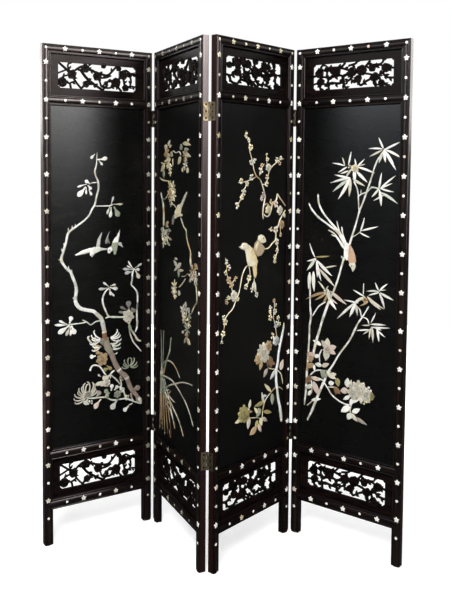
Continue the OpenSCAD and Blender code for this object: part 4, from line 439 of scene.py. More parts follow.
# Panel 4: bamboo, a long-tailed bird, a rose and a peony
STEMS_4 = [
    [[352, 1462, 6], [340, 1440, 6], [326, 1424, 7], [312, 1390, 7], [305, 1365, 7],
     [290, 1320, 8], [276, 1280, 8], [260, 1240, 8], [248, 1196, 8], [235, 1155, 9],
     [222, 1112, 9]],
    [[204, 1072, 9], [196, 1045, 9], [182, 995, 9], [166, 950, 9], [150, 915, 10],
     [136, 878, 13], [118, 825, 11], [108, 790, 11], [95, 748, 13], [84, 700, 11],
     [76, 670, 9]],
    [[64, 990, 8], [67, 930, 8], [68, 880, 8], [72, 840, 10], [67, 800, 9], [66, 750, 9],
     [63, 700, 9], [60, 650, 10], [57, 600, 10], [56, 560, 10], [49, 500, 6]],
    [[303, 905, 6], [290, 882, 6], [278, 862, 8], [262, 838, 7], [250, 812, 10], [232, 775, 8],
     [208, 740, 9], [190, 714, 8], [166, 672, 9], [146, 640, 10], [130, 602, 12],
     [112, 560, 12], [96, 520, 12], [80, 480, 11], [62, 444, 8]],
    [[236, 1348, 6], [246, 1330, 6], [253, 1308, 6], [256, 1276, 5], [258, 1244, 5]],
    [[252, 1290, 4], [266, 1302, 6], [288, 1310, 5], [306, 1326, 5], [334, 1320, 5]],
    [[264, 1302, 4], [265, 1318, 4]],
    [[236, 1148, 4], [252, 1158, 4], [266, 1168, 5]],
    [[78, 842, 6], [90, 862, 6], [106, 884, 6], [132, 902, 6]],
    [[276, 862, 5], [268, 890, 6], [250, 905, 5]], [[280, 864, 5], [298, 858, 6], [306, 838, 5]],
    [[282, 985, 4], [281, 945, 5]], [[120, 724, 5], [110, 700, 6], [112, 672, 5]],
    [[72, 618, 7], [94, 638, 7], [122, 645, 6], [160, 645, 5]],
    [[76, 612, 6], [108, 612, 7], [132, 606, 6]],
    [[128, 604, 6], [148, 580, 6], [164, 560, 7], [196, 542, 7], [232, 536, 6], [250, 548, 5]],
    [[244, 545, 6], [238, 520, 6], [240, 505, 5]], [[146, 586, 5], [180, 592, 5]],
    [[78, 600, 6], [80, 560, 7], [70, 540, 5]], [[60, 500, 5], [90, 528, 5]],
    # tail plumes of the bird
    [[56, 1264, 6], [70, 1240, 8], [98, 1212, 9], [140, 1186, 9], [180, 1158, 11],
     [206, 1118, 14]],
    [[94, 1298, 8], [98, 1264, 9], [118, 1228, 9], [148, 1196, 9], [184, 1160, 10],
     [210, 1118, 13]],
    [[172, 1202, 4], [182, 1170, 6], [204, 1124, 8]], [[192, 1182, 6], [198, 1150, 8], [212, 1118, 9]],
    [[138, 1168, 6], [166, 1152, 9], [204, 1104, 12]], [[150, 1152, 4], [174, 1144, 6]],
    [[203, 1068, 4], [192, 1076, 3], [195, 1066, 3]]
]
LEAVES_4 = [
    [346, 1462, 328, 1500, 9], [350, 1458, 408, 1484, 10], [352, 1458, 412, 1428, 12],
    [350, 1456, 393, 1387, 16], [344, 1460, 290, 1462, 9], [342, 1456, 294, 1434, 10],
    [346, 1452, 330, 1412, 15], [350, 1452, 354, 1414, 14],
    [200, 1402, 150, 1412, 8], [200, 1402, 190, 1432, 7], [208, 1398, 174, 1378, 9],
    [214, 1404, 224, 1452, 9], [214, 1384, 184, 1374, 8], [224, 1358, 160, 1370, 11],
    [222, 1360, 144, 1340, 12], [220, 1356, 154, 1308, 15], [220, 1356, 176, 1281, 17],
    [222, 1358, 219, 1292, 17], [232, 1356, 280, 1330, 13], [246, 1382, 288, 1344, 15],
    [250, 1398, 316, 1376, 11], [248, 1400, 276, 1426, 8], [246, 1402, 238, 1428, 7],
    [250, 1400, 280, 1408, 6], [238, 1388, 242, 1346, 18], [226, 1390, 206, 1362, 12],
    [332, 1322, 341, 1378, 11], [334, 1320, 392, 1368, 9], [336, 1322, 382, 1342, 8],
    [336, 1324, 388, 1312, 9], [338, 1310, 402, 1272, 13], [334, 1318, 342, 1262, 15],
    [350, 1300, 312, 1280, 8], [332, 1322, 305, 1292, 11], [334, 1324, 300, 1330, 6],
    [264, 1166, 280, 1220, 9], [268, 1172, 332, 1190, 10], [262, 1166, 302, 1150, 8],
    [86, 1062, 62, 1114, 8], [84, 1064, 148, 1073, 9], [90, 1060, 51, 1046, 10],
    [90, 1060, 51, 1010, 16], [122, 1026, 174, 1039, 9], [94, 1052, 156, 1000, 16],
    [92, 1052, 112, 978, 16], [104, 1022, 168, 962, 16], [64, 1006, 60, 942, 20],
    [80, 1010, 84, 936, 20], [92, 1050, 96, 990, 12],
    [132, 938, 50, 904, 14], [128, 946, 100, 976, 9], [132, 944, 142, 962, 8],
    [150, 944, 216, 902, 17], [140, 926, 176, 878, 17], [134, 934, 88, 904, 12],
    [138, 930, 120, 892, 12], [146, 922, 180, 900, 10], [140, 950, 150, 900, 22],
    [286, 938, 241, 958, 8], [262, 912, 205, 918, 8], [246, 910, 180, 846, 13],
    [250, 910, 229, 858, 16], [252, 908, 260, 866, 12], [246, 906, 276, 934, 14],
    [290, 936, 250, 918, 14], [296, 940, 348, 898, 16], [300, 936, 360, 902, 10],
    [342, 956, 362, 904, 12], [344, 958, 394, 937, 12], [340, 962, 372, 993, 9],
    [338, 966, 325, 992, 8], [340, 962, 292, 958, 9], [344, 966, 366, 970, 5],
    [300, 920, 268, 902, 8], [340, 958, 300, 944, 8],
    [310, 842, 368, 846, 10], [312, 832, 384, 838, 9], [312, 848, 330, 886, 7],
    [308, 838, 276, 834, 6], [306, 822, 256, 812, 8], [312, 826, 282, 802, 8],
    [314, 830, 306, 788, 9], [318, 830, 321, 778, 12], [336, 830, 344, 784, 12],
    [334, 824, 366, 803, 9], [328, 832, 352, 826, 9],
    [116, 738, 82, 752, 17], [140, 730, 118, 756, 22], [142, 734, 142, 768, 26],
    [148, 732, 178, 742, 24], [146, 728, 176, 714, 22], [138, 726, 137, 684, 30],
    [92, 700, 56, 696, 18], [84, 690, 58, 668, 18], [90, 690, 112, 700, 16],
    [86, 662, 58, 644, 22], [88, 660, 92, 636, 12], [120, 662, 92, 664, 18],
    [122, 660, 150, 674, 18], [124, 630, 118, 646, 14], [130, 644, 124, 616, 22],
    [140, 640, 180, 622, 20], [156, 632, 180, 640, 18],
    [184, 626, 190, 596, 22], [150, 600, 172, 606, 20], [170, 592, 198, 570, 20],
    [180, 590, 180, 564, 16], [78, 610, 116, 606, 18], [76, 604, 56, 590, 22],
    [86, 596, 112, 546, 24], [80, 582, 58, 566, 18], [78, 560, 64, 540, 14],
    [80, 524, 118, 536, 14], [226, 600, 226, 634, 24], [238, 606, 240, 630, 10],
    [228, 588, 198, 582, 26], [236, 530, 202, 505, 26], [240, 506, 228, 482, 24],
    [246, 512, 276, 530, 20], [242, 508, 268, 482, 16], [262, 496, 304, 478, 14],
    [250, 564, 236, 536, 18], [272, 566, 246, 546, 12], [236, 570, 210, 552, 16]
]
BLOOMS_4 = [
    [240, 1392, 16, 6], [222, 1396, 11, 5], [144, 728, 20, 7], [270, 594, 40, 11],
    [252, 584, 26, 8], [300, 586, 24, 7], [318, 584, 16, 5], [308, 604, 13, 5],
    [306, 568, 13, 5], [286, 560, 14, 5], [286, 616, 12, 5], [234, 588, 14, 6],
    [74, 688, 14, 6], [288, 926, 12, 6], [136, 938, 14, 6], [66, 604, 14, 6]
]
FIGURES_4 = [
    # long-tailed bird, head down: back, breast and head
    [[204, 1120], [214, 1126], [224, 1120], [224, 1096], [222, 1064], [212, 1062], [203, 1078],
     [203, 1100]],
    [[224, 1124], [238, 1104], [248, 1080], [251, 1060], [244, 1050], [226, 1052], [220, 1066],
     [220, 1096]],
    [[226, 1056], [246, 1058], [250, 1044], [247, 1034], [239, 1022], [233, 1036], [224, 1046]]
]
# Eyes: x, z and size
EYES = {
    1: [[188, 1066, 2.2], [259, 1080, 2.2]],
    2: [[206, 1226, 2.2]],
    3: [[263, 1140, 3.2], [150, 1121, 2.6]],
    4: [[237, 1044, 2.8]],
}


# Colours of the stones and shells
def paint(red, green, blue):
    """A colour given as it looks, 0 to 255, in the linear values that the shaders take."""
    return tuple(
        c / 12.92 if c <= 0.04045 else ((c + 0.055) / 1.055) ** 2.4
        for c in (red / 255, green / 255, blue / 255)
    )


STONES = {
    "pearl": paint(238, 236, 230),
    "green_pearl": paint(212, 216, 202),
    "grey_pearl": paint(190, 190, 186),
    "bone": paint(206, 200, 182),
    "cream": paint(214, 202, 166),
    "tan": paint(176, 150, 112),
    "brown": paint(126, 94, 66),
    "olive": paint(158, 148, 96),
    "sage": paint(150, 156, 134),
    "mauve": paint(170, 158, 148),
    "rose": paint(212, 194, 180),
    "slate": paint(120, 118, 112),
    "peach": paint(192, 158, 130),
    "jet": paint(24, 20, 18),
    "old_bark": paint(142, 126, 114),
    "ivory": paint(240, 232, 204),
    "gold": paint(234, 212, 162),
    "fawn": paint(188, 166, 136),
    "white_shell": paint(244, 241, 234),
    # Dull shell: a stone of the pictures, and also the painted shade of the studs by the first fold
    "dull_shell_and_stud_shade": paint(150, 146, 128),
}
# Shells that the rest of each picture is cut from
SHELLS = {
    1: ["pearl", "pearl", "pearl", "bone", "grey_pearl", "green_pearl"],
    2: ["bone", "cream", "tan", "sage", "cream", "bone"],
    3: ["cream", "bone", "cream", "tan", "bone", "cream"],
    4: ["pearl", "white_shell", "pearl", "bone", "green_pearl", "pearl"],
}
# Where another stone is let in: x, z, reach and stone. What lies outside is shell.
STONE_PLACES = {
    1: [
        [194, 1433, 12, "white_shell"], [230, 1420, 26, "white_shell"], [160, 1312, 40, "pearl"],
        [240, 753, 14, "brown"], [228, 668, 24, "tan"], [205, 695, 14, "tan"],
        [246, 730, 14, "dull_shell_and_stud_shade"], [259, 702, 18, "dull_shell_and_stud_shade"], [276, 670, 18, "old_bark"],
        [292, 636, 20, "old_bark"], [317, 598, 22, "old_bark"], [343, 556, 24, "old_bark"],
        [368, 515, 22, "old_bark"], [206, 712, 14, "tan"], [245, 718, 26, "bone"],
        [350, 545, 18, "tan"],
        [325, 622, 18, "olive"], [345, 636, 20, "sage"], [340, 820, 26, "bone"],
        [172, 546, 14, "dull_shell_and_stud_shade"], [155, 562, 34, "bone"], [206, 500, 16, "rose"],
        [208, 536, 12, "mauve"], [255, 532, 20, "sage"], [296, 520, 20, "sage"],
        [236, 580, 30, "bone"], [248, 634, 18, "olive"], [300, 1225, 20, "sage"],
        [345, 780, 30, "sage"], [280, 485, 16, "grey_pearl"], [342, 860, 40, "slate"],
    ],
    2: [
        [120, 1446, 18, "tan"], [138, 1408, 18, "cream"], [290, 1436, 18, "tan"],
        [178, 1316, 20, "cream"], [152, 1322, 16, "olive"], [118, 1136, 18, "bone"],
        [360, 1030, 18, "tan"], [196, 956, 18, "cream"], [306, 892, 18, "bone"],
        [290, 852, 16, "cream"], [288, 1402, 14, "bone"], [76, 700, 70, "sage"],
        [80, 560, 40, "sage"], [90, 460, 70, "tan"], [140, 430, 50, "brown"],
    ],
    3: [
        [396, 785, 22, "green_pearl"], [382, 745, 22, "pearl"], [370, 705, 20, "white_shell"],
        [362, 668, 20, "white_shell"], [356, 630, 20, "pearl"], [358, 595, 20, "white_shell"],
        [366, 555, 22, "green_pearl"], [378, 515, 22, "pearl"], [388, 470, 26, "green_pearl"],
        [295, 1243, 16, "cream"], [366, 1238, 18, "bone"], [376, 1184, 18, "tan"],
        [262, 1292, 20, "mauve"], [270, 1262, 14, "rose"], [198, 1358, 14, "bone"],
        [294, 1392, 16, "bone"], [206, 1412, 14, "bone"], [342, 1262, 16, "rose"],
        [275, 722, 30, "bone"], [304, 740, 18, "tan"], [250, 706, 18, "tan"],
        [318, 678, 22, "brown"], [262, 675, 18, "tan"], [292, 642, 16, "mauve"],
        [388, 652, 20, "rose"], [336, 628, 16, "grey_pearl"], [163, 520, 24, "olive"],
        [150, 510, 22, "cream"], [184, 505, 16, "bone"], [256, 532, 20, "olive"],
        [248, 500, 16, "sage"], [306, 492, 20, "olive"], [246, 472, 20, "olive"],
        [222, 440, 22, "tan"], [256, 444, 14, "rose"], [288, 468, 18, "mauve"],
        [292, 556, 14, "grey_pearl"], [333, 535, 18, "sage"], [208, 970, 24, "bone"],
        [104, 948, 18, "bone"], [345, 755, 18, "grey_pearl"], [356, 815, 16, "grey_pearl"],
    ],
    4: [
        [240, 1390, 14, "cream"], [222, 1396, 12, "rose"], [110, 925, 26, "tan"],
        [150, 945, 26, "bone"], [186, 912, 26, "rose"], [288, 926, 18, "tan"],
        [250, 905, 18, "tan"], [310, 825, 24, "bone"], [150, 728, 20, "rose"],
        [140, 745, 20, "bone"], [80, 700, 10, "rose"], [60, 682, 9, "bone"],
        [76, 642, 9, "bone"], [70, 690, 20, "tan"], [66, 650, 18, "tan"],
        [104, 660, 16, "green_pearl"], [134, 670, 14, "rose"], [130, 632, 16, "sage"],
        [168, 632, 16, "bone"], [62, 596, 14, "brown"], [96, 608, 16, "rose"],
        [186, 612, 18, "olive"], [184, 575, 18, "brown"], [212, 586, 12, "rose"],
        [236, 588, 16, "olive"], [270, 594, 32, "bone"], [318, 584, 14, "olive"],
        [300, 570, 18, "cream"], [255, 496, 18, "bone"], [285, 488, 16, "mauve"],
        [80, 1065, 14, "bone"], [116, 1068, 30, "olive"], [92, 560, 20, "rose"],
        [226, 612, 14, "green_pearl"],
    ],
}

# How bright each panel's stones are, how much single pieces differ, and the palest that one gets
LIVELY = by_panel(1.02, 0.82, 1.3, 0.98)
PIECE_CHANGE = (0.82, 1.06)
PALEST_SHELL = 0.9


def stone_at(number, x, z, rng):
    """The colour of the inlay at a place on a board, with the small change of each cut piece."""
    shells = SHELLS[number]
    name = shells[int(rng.integers(len(shells)))]
    for px, pz, reach, stone in STONE_PLACES[number]:
        if (x - px) ** 2 + (z - pz) ** 2 < reach ** 2:
            name = stone
            break
    stone = np.array(STONES[name]) * rng.uniform(*PIECE_CHANGE) * LIVELY[number]
    return np.minimum(stone, PALEST_SHELL)


# Panels
class Panel:
    """A panel's own frame, found from its left stile: the arris is x 0 and the bead's crest y 0."""

    def __init__(self, number):
        self.number = number
        self.turn = math.radians(HEADINGS[number])
        self.along = np.array([math.cos(self.turn), math.sin(self.turn)])
        self.back = np.array([-math.sin(self.turn), math.cos(self.turn)])
        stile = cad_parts[f"panel_{number}_left_stile"].data.vertices
        plan = np.array([v.co for v in stile])[:, :2]
        self.corner = (plan @ self.along).min() * self.along + (plan @ self.back).min() * self.back
        self.body = f"panel_{number}"

    def place(self, points):
        """Points in the panel's millimetres as points of the whole screen in metres."""
        points = np.asarray(points, float)
        plan = self.corner + MM * (points[:, :1] * self.along + points[:, 1:2] * self.back)
        return np.column_stack([plan, MM * points[:, 2]])


# The surfaces that carry carved pieces, as their depth behind the bead's crest at x, z
def flat(depth):
    return lambda x, z: np.full_like(x, depth)


def bead_depth(off):
    """Depth of the bead's round at a distance from its middle line."""
    off = np.clip(np.abs(off), 0, BEAD_W / 2)
    return BEAD_R - np.sqrt(BEAD_R ** 2 - off ** 2)


def stile_bead(x, z):
    return bead_depth(x - np.where(x < PANEL_W / 2, BEAD_C, PANEL_W - BEAD_C))


def rail_bead(middle):
    return lambda x, z: bead_depth(z - middle)


def corner_bead(x, z):
    return np.minimum(stile_bead(x, z), bead_depth(z - (SCREEN_H - BEAD_C)))


def put_in_scene(name, data):
    thing = bpy.data.objects.new(name, data)
    bpy.context.scene.collection.objects.link(thing)
    return thing


# Carving. How deep a piece is let in, and a petal of a flower stud
SINK = 0.3
STUD_SINK = 0.6


class Carving:
    """Closed carved pieces of one object, each let into the surface that carries it."""

    def __init__(self, surface=None):
        self.surface = surface
        self.points = []
        self.faces = []
        self.smooth = []
        self.colours = []
        self.count = 0

    def add(self, points, faces, rounded, colour):
        """Adds a piece. So many of its faces as rounded says, from the first, are shaded smooth."""
        self.points.append(points)
        self.faces += [tuple(i + self.count for i in face) for face in faces]
        self.smooth += [True] * rounded + [False] * (len(faces) - rounded)
        self.colours.append(np.broadcast_to(np.asarray(colour, float), (len(points), 3)))
        self.count += len(points)

    def close(self, top, top_faces, rim, colour, sink=SINK):
        """Adds a face whose rim runs round it, with walls down into the surface and an underside."""
        foot = top[rim].copy()
        foot[:, 1] = self.surface(foot[:, 0], foot[:, 2]) + sink
        x, z = top[rim, 0], top[rim, 2]
        area = np.sum(x * np.roll(z, -1) - np.roll(x, -1) * z)
        n = len(rim)
        base = len(top)
        faces = [tuple(face) for face in top_faces]
        for k in range(n):
            after = (k + 1) % n
            faces.append((rim[k], base + k, base + after, rim[after]))
        faces.append(tuple(base + n - 1 - k for k in range(n)))
        if area < 0:
            faces = [face[::-1] for face in faces]
        colour = np.asarray(colour, float)
        if colour.ndim == 2:
            colour = np.vstack([colour, colour[rim]])
        self.add(np.vstack([top, foot]), faces, len(top_faces), colour)

    def sheet(self, x, z, height, colour, sink=SINK):
        """A carved pad over a grid of rows and columns, its height above the surface given."""
        rows, cols = x.shape
        top = np.column_stack([x.ravel(), (self.surface(x, z) - height).ravel(), z.ravel()])
        cell = np.arange(rows * cols).reshape(rows, cols)
        quads = np.stack(
            [cell[:-1, :-1], cell[1:, :-1], cell[1:, 1:], cell[:-1, 1:]], -1
        ).reshape(-1, 4)
        rim = np.concatenate([cell[:, 0], cell[-1, 1:], cell[-2::-1, -1], cell[0, -2:0:-1]])
        if np.ndim(colour) == 2:
            colour = np.repeat(colour, cols, axis=0)
        self.close(top, quads.tolist(), rim.tolist(), colour, sink)

    def make(self, name, panel, material, slot, replaced=None):
        mesh = bpy.data.meshes.new(name)
        mesh.from_pydata(panel.place(np.vstack(self.points)).tolist(), [], self.faces)
        mesh.polygons.foreach_set("use_smooth", self.smooth)
        colours = mesh.color_attributes.new("stone_colour", "FLOAT_COLOR", "POINT")
        rgba = np.ones((self.count, 4), np.float32)
        rgba[:, :3] = np.vstack(self.colours)
        colours.data.foreach_set("color", rgba.ravel())
        mesh.materials.append(material)
        mesh.update()
        piece = put_in_scene(name, mesh)
        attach(piece, panel.body)
        if replaced:
            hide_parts(replaced)


def tube_faces(rows, cols, closed):
    """Faces between rows of points that lie round a tube, which may also close end to end."""
    faces = []
    for r in range(rows):
        here, after = r * cols, (r + 1) % rows * cols
        for k in range(cols if closed else cols - 1):
            beside = (k + 1) % cols
            faces.append((here + k, here + beside, after + beside, after + k))
    return faces


def away(x, z, turn, out, off=0):
    """The place out from x, z in the direction of the turn, and off to its left."""
    return (
        x + out * math.cos(turn) - off * math.sin(turn),
        z + out * math.sin(turn) + off * math.cos(turn),
    )


# Columns of a carved pad, and the least height of one
ACROSS = np.array([-1.0, -0.82, -0.5, -0.18, 0.0, 0.18, 0.5, 0.82, 1.0])
THINNEST = 0.35


def smooth_line(points, step):
    """Points x, z, width along a line through the given ones, about a step apart."""
    p = np.array(points, float)
    p = np.vstack([2 * p[0] - p[1], p, 2 * p[-1] - p[-2]])
    line = []
    for a, b, c, d in zip(p[:-3], p[1:-2], p[2:-1], p[3:]):
        steps = max(2, int(np.linalg.norm((c - b)[:2]) / step))
        for t in np.arange(steps) / steps:
            line.append(
                0.5 * (2 * b + (c - a) * t + (2 * a - 5 * b + 4 * c - d) * t ** 2
                       + (3 * b - a - 3 * c + d) * t ** 3)
            )
    line.append(p[-2])
    return np.array(line)


# Bamboo: distance between joints, and where the first one is cut
JOINT_PITCH = 58.0
JOINT_CUT = 20.0


def bamboo_joints(along, width):
    """1 at the joints of a stem and 0 between them."""
    from_joint = (along + JOINT_CUT) % JOINT_PITCH - JOINT_PITCH / 2
    return np.exp(-(from_joint / width) ** 2)


def stroke(carving, points, tall, colour_at, rng, grain, step=5.0, rise=0.5):
    """A branch or stalk, rounded and cut square to the surface at its sides. Bark is uneven and
    furrowed, bamboo swells at its joints, and both taper at their ends, where cut work doesn't."""
    line = smooth_line(points, step)
    way = np.gradient(line[:, :2], axis=0)
    way /= np.maximum(np.linalg.norm(way, axis=1), 1e-6)[:, None]
    side = np.column_stack([-way[:, 1], way[:, 0]])
    half = line[:, 2] / 2
    if grain == "bark":
        half = half * (1 + rng.uniform(-0.09, 0.09, len(line)))
    if grain != "cut":
        half[0] *= 0.55
        half[-1] *= 0.5
    along = np.cumsum(np.r_[0, np.linalg.norm(np.diff(line[:, :2], axis=0), axis=1)])
    if grain == "bamboo":
        half = half * (1 + 0.22 * bamboo_joints(along, 3.2))
    s = ACROSS[None, :]
    x = line[:, :1] + side[:, :1] * half[:, None] * s
    z = line[:, 1:2] + side[:, 1:2] * half[:, None] * s
    high = np.minimum(tall, rise * 2 * half)[:, None]
    height = high * (0.4 + 0.6 * np.sqrt(1 - 0.96 * s ** 2))
    if grain == "bark":
        furrow = np.sin(along[:, None] / 9.0 + 5 * s + rng.uniform(0, 6))
        height = height * (1 + 0.07 * furrow + rng.uniform(-0.05, 0.05, x.shape))
    if grain == "bamboo":
        height = height * (1 + 0.16 * bamboo_joints(along, 2.6))[:, None]
    colour = np.array([colour_at(px, pz) for px, pz in line[:, :2]])
    carving.sheet(x, z, np.maximum(height, THINNEST), colour)


def leaf_half(t):
    """Half width of a leaf along its length."""
    return np.sin(np.pi * t ** 0.8) ** 0.8 / 2


def spoon_half(t):
    """Half width of a leaf on a stalk, round at its end."""
    return np.maximum(np.sin(np.pi * t ** 2.4) ** 0.7, 0.3 * (t < 0.6)) / 2


def leaf(carving, spec, tall, colour, rng, broad=13.0, shape=leaf_half):
    """A leaf x, z, tip x, tip z, width, with a sunk midrib and, on broad ones, side veins."""
    a = np.array(spec[:2], float)
    d = np.array(spec[2:4], float) - a
    length = np.linalg.norm(d)
    normal = np.array([-d[1], d[0]]) / length
    t = np.linspace(0, 1, 11 if spec[4] >= broad else 8)
    half = spec[4] * shape(np.clip(t, 0.03, 0.975))
    s = ACROSS[None, :]
    bow = rng.uniform(-0.035, 0.035) * length * np.sin(np.pi * t)
    x, z = (
        (a[i] + d[i] * t + normal[i] * bow)[:, None] + normal[i] * half[:, None] * s for i in (0, 1)
    )
    high = tall * (0.62 + 0.38 * np.sin(np.pi * t))[:, None]
    height = high * (0.5 + 0.5 * np.sqrt(1 - 0.94 * s ** 2)) - 0.3 * tall * np.exp(-(s / 0.15) ** 2)
    if spec[4] >= broad:
        height = height + 0.07 * tall * np.sin(9 * np.pi * t[:, None] + 4 * np.abs(s))
    carving.sheet(x, z, np.maximum(height, THINNEST), colour)


# Painted shade of a petal: darkest at its foot by the flower's middle, lightest at its rim
PETAL_PAINTED_SHADE = np.array([0.42, 0.62, 0.85, 1.0, 1.06, 1.1])[:, None]


def petal(carving, x, z, turn, reach, width, low, high, colour):
    """A spoon-shaped petal from near the flower's centre: dished, with a raised round rim."""
    t = np.linspace(0.12, 1, len(PETAL_PAINTED_SHADE))[:, None]
    s = ACROSS[None, 1:-1] / ACROSS[-2]
    swell = np.sin(np.pi * (0.13 + 0.67 * t ** 1.15)) ** 0.8
    x, z = away(x, z, turn, reach * (t - 0.17 * s ** 2 * t ** 2), width / 2 * swell * s)
    height = low + (high - low) * (0.25 + 0.75 * t) * (0.72 + 0.28 * s ** 2)
    height = height - 0.28 * (high - low) * np.exp(-(s / 0.2) ** 2) * (1 - 0.4 * t)
    carving.sheet(x, z, height, colour)


def boss(carving, x, z, r, height, colour, base=0.0, cells=5):
    """A small domed button."""
    u, v = np.meshgrid(np.linspace(-1, 1, cells), np.linspace(-1, 1, cells), indexing="ij")
    dx = u * np.sqrt(1 - v ** 2 / 2)
    dz = v * np.sqrt(1 - u ** 2 / 2)
    round_off = np.sqrt(np.maximum(0, 1 - 0.9 * (dx ** 2 + dz ** 2)))
    carving.sheet(x + r * dx, z + r * dz, base + height * round_off, colour)


def spray(carving, spec, tall, colour, rng):
    """A cluster of pointed leaflets round one point, with the board showing between them."""
    x, z, r, count = spec
    for k in range(count):
        turn = math.radians(90 + 360 * (k + rng.uniform(-0.3, 0.3)) / count)
        start = r * rng.uniform(0.12, 0.3)
        reach = r * rng.uniform(0.85, 1.15)
        shade = colour * rng.uniform(0.5, 1.3)
        ends = [*away(x, z, turn, start), *away(x, z, turn, reach)]
        leaf(carving, [*ends, r * rng.uniform(0.2, 0.34)], tall * 0.8, shade, rng)
    boss(carving, x, z, r * 0.14, tall * 0.8, colour * 0.8)


# Radius from which a flower has petals, and from which a second and a third row of them
PETALS_FROM = 15
SECOND_ROW_FROM = 17
THIRD_ROW_FROM = 27


def blossom(carving, spec, tall, colour, rng):
    """A flower x, z, radius, petals. A small one is a ring of buttons, and large ones have two or
    three rows of petals."""
    x, z, r, count = spec
    if r < PETALS_FROM:
        lean = rng.uniform(0, 360)
        for k in range(5 - int(rng.integers(0, 2))):
            turn = math.radians(lean + 72 * k + rng.uniform(-8, 8))
            out = r * rng.uniform(0.56, 0.74)
            shade = colour * rng.uniform(0.75, 1.15)
            boss(carving, *away(x, z, turn, out), r * rng.uniform(0.28, 0.37), tall * 0.8, shade)
        boss(carving, x, z, r * 0.16, tall * 0.9, colour * 0.6)
        return
    rows = [[1.0, count, 0.35, 0.8]]
    if r >= SECOND_ROW_FROM:
        rows.append([0.68, max(4, count - 2), 0.6, 0.95])
    if r >= THIRD_ROW_FROM:
        rows.append([0.42, max(4, count // 2), 0.78, 1.08])
    for level, (share, petals, low, high) in enumerate(rows):
        lean = rng.uniform(-8, 8) + level * 180 / petals
        for k in range(petals):
            turn = math.radians(90 + lean + 360 * k / petals)
            reach = r * share * rng.uniform(0.84, 1.08)
            width = min(1.62 * reach * math.sin(math.pi / petals), 1.1 * reach)
            shade = colour * rng.uniform(0.62, 1.12) * (1 - 0.06 * level)
            # each petal is painted darker at its foot as painted shade
            petal(carving, x, z, turn, reach, width, tall * low, tall * high, shade * PETAL_PAINTED_SHADE)
    boss(carving, x, z, r * 0.17, tall * 0.35, colour * 0.72, base=tall * 0.7)


# A hooked petal: how far out and to the side, as shares of its reach, and its width
HOOKED_PETAL = [(0.1, 0, 3), (0.4, -0.09, 5), (0.72, -0.07, 5), (0.95, 0.05, 4.4), (1.0, 0.2, 3)]


def curled_flower(carving, spec, tall, colour, rng):
    """A flower of long narrow petals that hook at their ends."""
    x, z, reach, count, first, last = spec
    for k in range(count):
        turn = math.radians(first + (last - first) * k / (count - 1) + rng.uniform(-5, 5))
        hand = 1 if turn < math.pi / 2 else -1
        size = reach * rng.uniform(0.78, 1.05)
        points = [
            [*away(x, z, turn, size * out, size * off * hand), width]
            for out, off, width in HOOKED_PETAL
        ]
        shade = colour * rng.uniform(0.8, 1.1)
        stroke(carving, points, tall, lambda a, b: shade, rng, "cut", 4.0)


# Distance between the points of a figure's face, and how far in from its rim it is rounded
FIGURE_MESH = 2.6
ROUND_IN = 5.0


def figure(carving, outline, tall, colour, ridges):
    """A figure cut to an outline: its face is rounded down towards the rim and scored by ridges."""
    corner = np.array(outline, float)
    rim = []
    for a, b in zip(corner, np.roll(corner, -1, axis=0)):
        steps = max(1, int(round(np.linalg.norm(b - a) / FIGURE_MESH)))
        rim += [a + (b - a) * k / steps for k in range(steps)]
    rim = np.array(rim)
    low, high = rim.min(0), rim.max(0)
    gx, gz = np.meshgrid(
        np.arange(low[0], high[0], FIGURE_MESH), np.arange(low[1], high[1], FIGURE_MESH * 0.87)
    )
    gx = gx + (np.arange(len(gx))[:, None] % 2) * FIGURE_MESH / 2
    spots = np.column_stack([gx.ravel(), gz.ravel()])
    a, b = rim, np.roll(rim, -1, axis=0)
    crosses = (a[:, 1] > spots[:, 1:]) != (b[:, 1] > spots[:, 1:])
    rise = np.where(np.abs(b[:, 1] - a[:, 1]) < 1e-9, 1e-9, b[:, 1] - a[:, 1])
    at = a[:, 0] + (b[:, 0] - a[:, 0]) * (spots[:, 1:] - a[:, 1]) / rise
    spots = spots[(crosses & (spots[:, :1] < at)).sum(1) % 2 == 1]

    def rim_distance(p):
        run = b - a
        t = ((p[:, None] - a) * run).sum(-1) / np.maximum((run ** 2).sum(-1), 1e-9)
        t = np.clip(t, 0, 1)[..., None]
        return np.linalg.norm(p[:, None] - (a + run * t), axis=-1).min(1)

    spots = spots[rim_distance(spots) > FIGURE_MESH * 0.45]
    n = len(rim)
    face, _, triangles, origin, _, _ = delaunay_2d_cdt(
        [Vector(p) for p in np.vstack([rim, spots])], [(k, (k + 1) % n) for k in range(n)],
        [], 1, 1e-6,
    )
    face = np.array(face)
    x, z = face.T
    inner = rim_distance(face)
    inner[[k for k, o in enumerate(origin) if o and o[0] < n]] = 0
    share = np.clip(inner / ROUND_IN, 0, 1)
    height = tall * (0.42 + 0.58 * np.sqrt(1 - (1 - share) ** 2))
    height = height + ridges(x, z) * np.minimum(1, inner / 2.5)
    where = {source: k for k, o in enumerate(origin) for source in o}
    top = np.column_stack([x, carving.surface(x, z) - height, z])
    carving.close(top, triangles, [where[k] for k in range(n)], colour)


# Studs of shell along the frame
def flower_stud(carving, x, z, colour, rng):
    """Five pointed petals cut from shell, split from each other, round a small button."""
    t = np.linspace(0.14, 1, 5)[:, None]
    s = ACROSS[None, ::2]
    off = FLOWER_R * 0.36 * np.sin(np.pi * (0.2 + 0.76 * t)) ** 0.75 * s
    height = STUD_RISE * (0.45 + 0.5 * np.sqrt(1 - 0.9 * s ** 2)) * (1 - 0.15 * t)
    height = height - 0.18 * np.exp(-(s / 0.3) ** 2)
    for k in range(5):
        px, pz = away(x, z, math.radians(90 + 72 * k), FLOWER_R * t, off)
        carving.sheet(px, pz, height, colour * rng.uniform(0.95, 1.04), STUD_SINK)
    boss(carving, x, z, 1.9, 0.3, colour * 0.8, base=0.85)


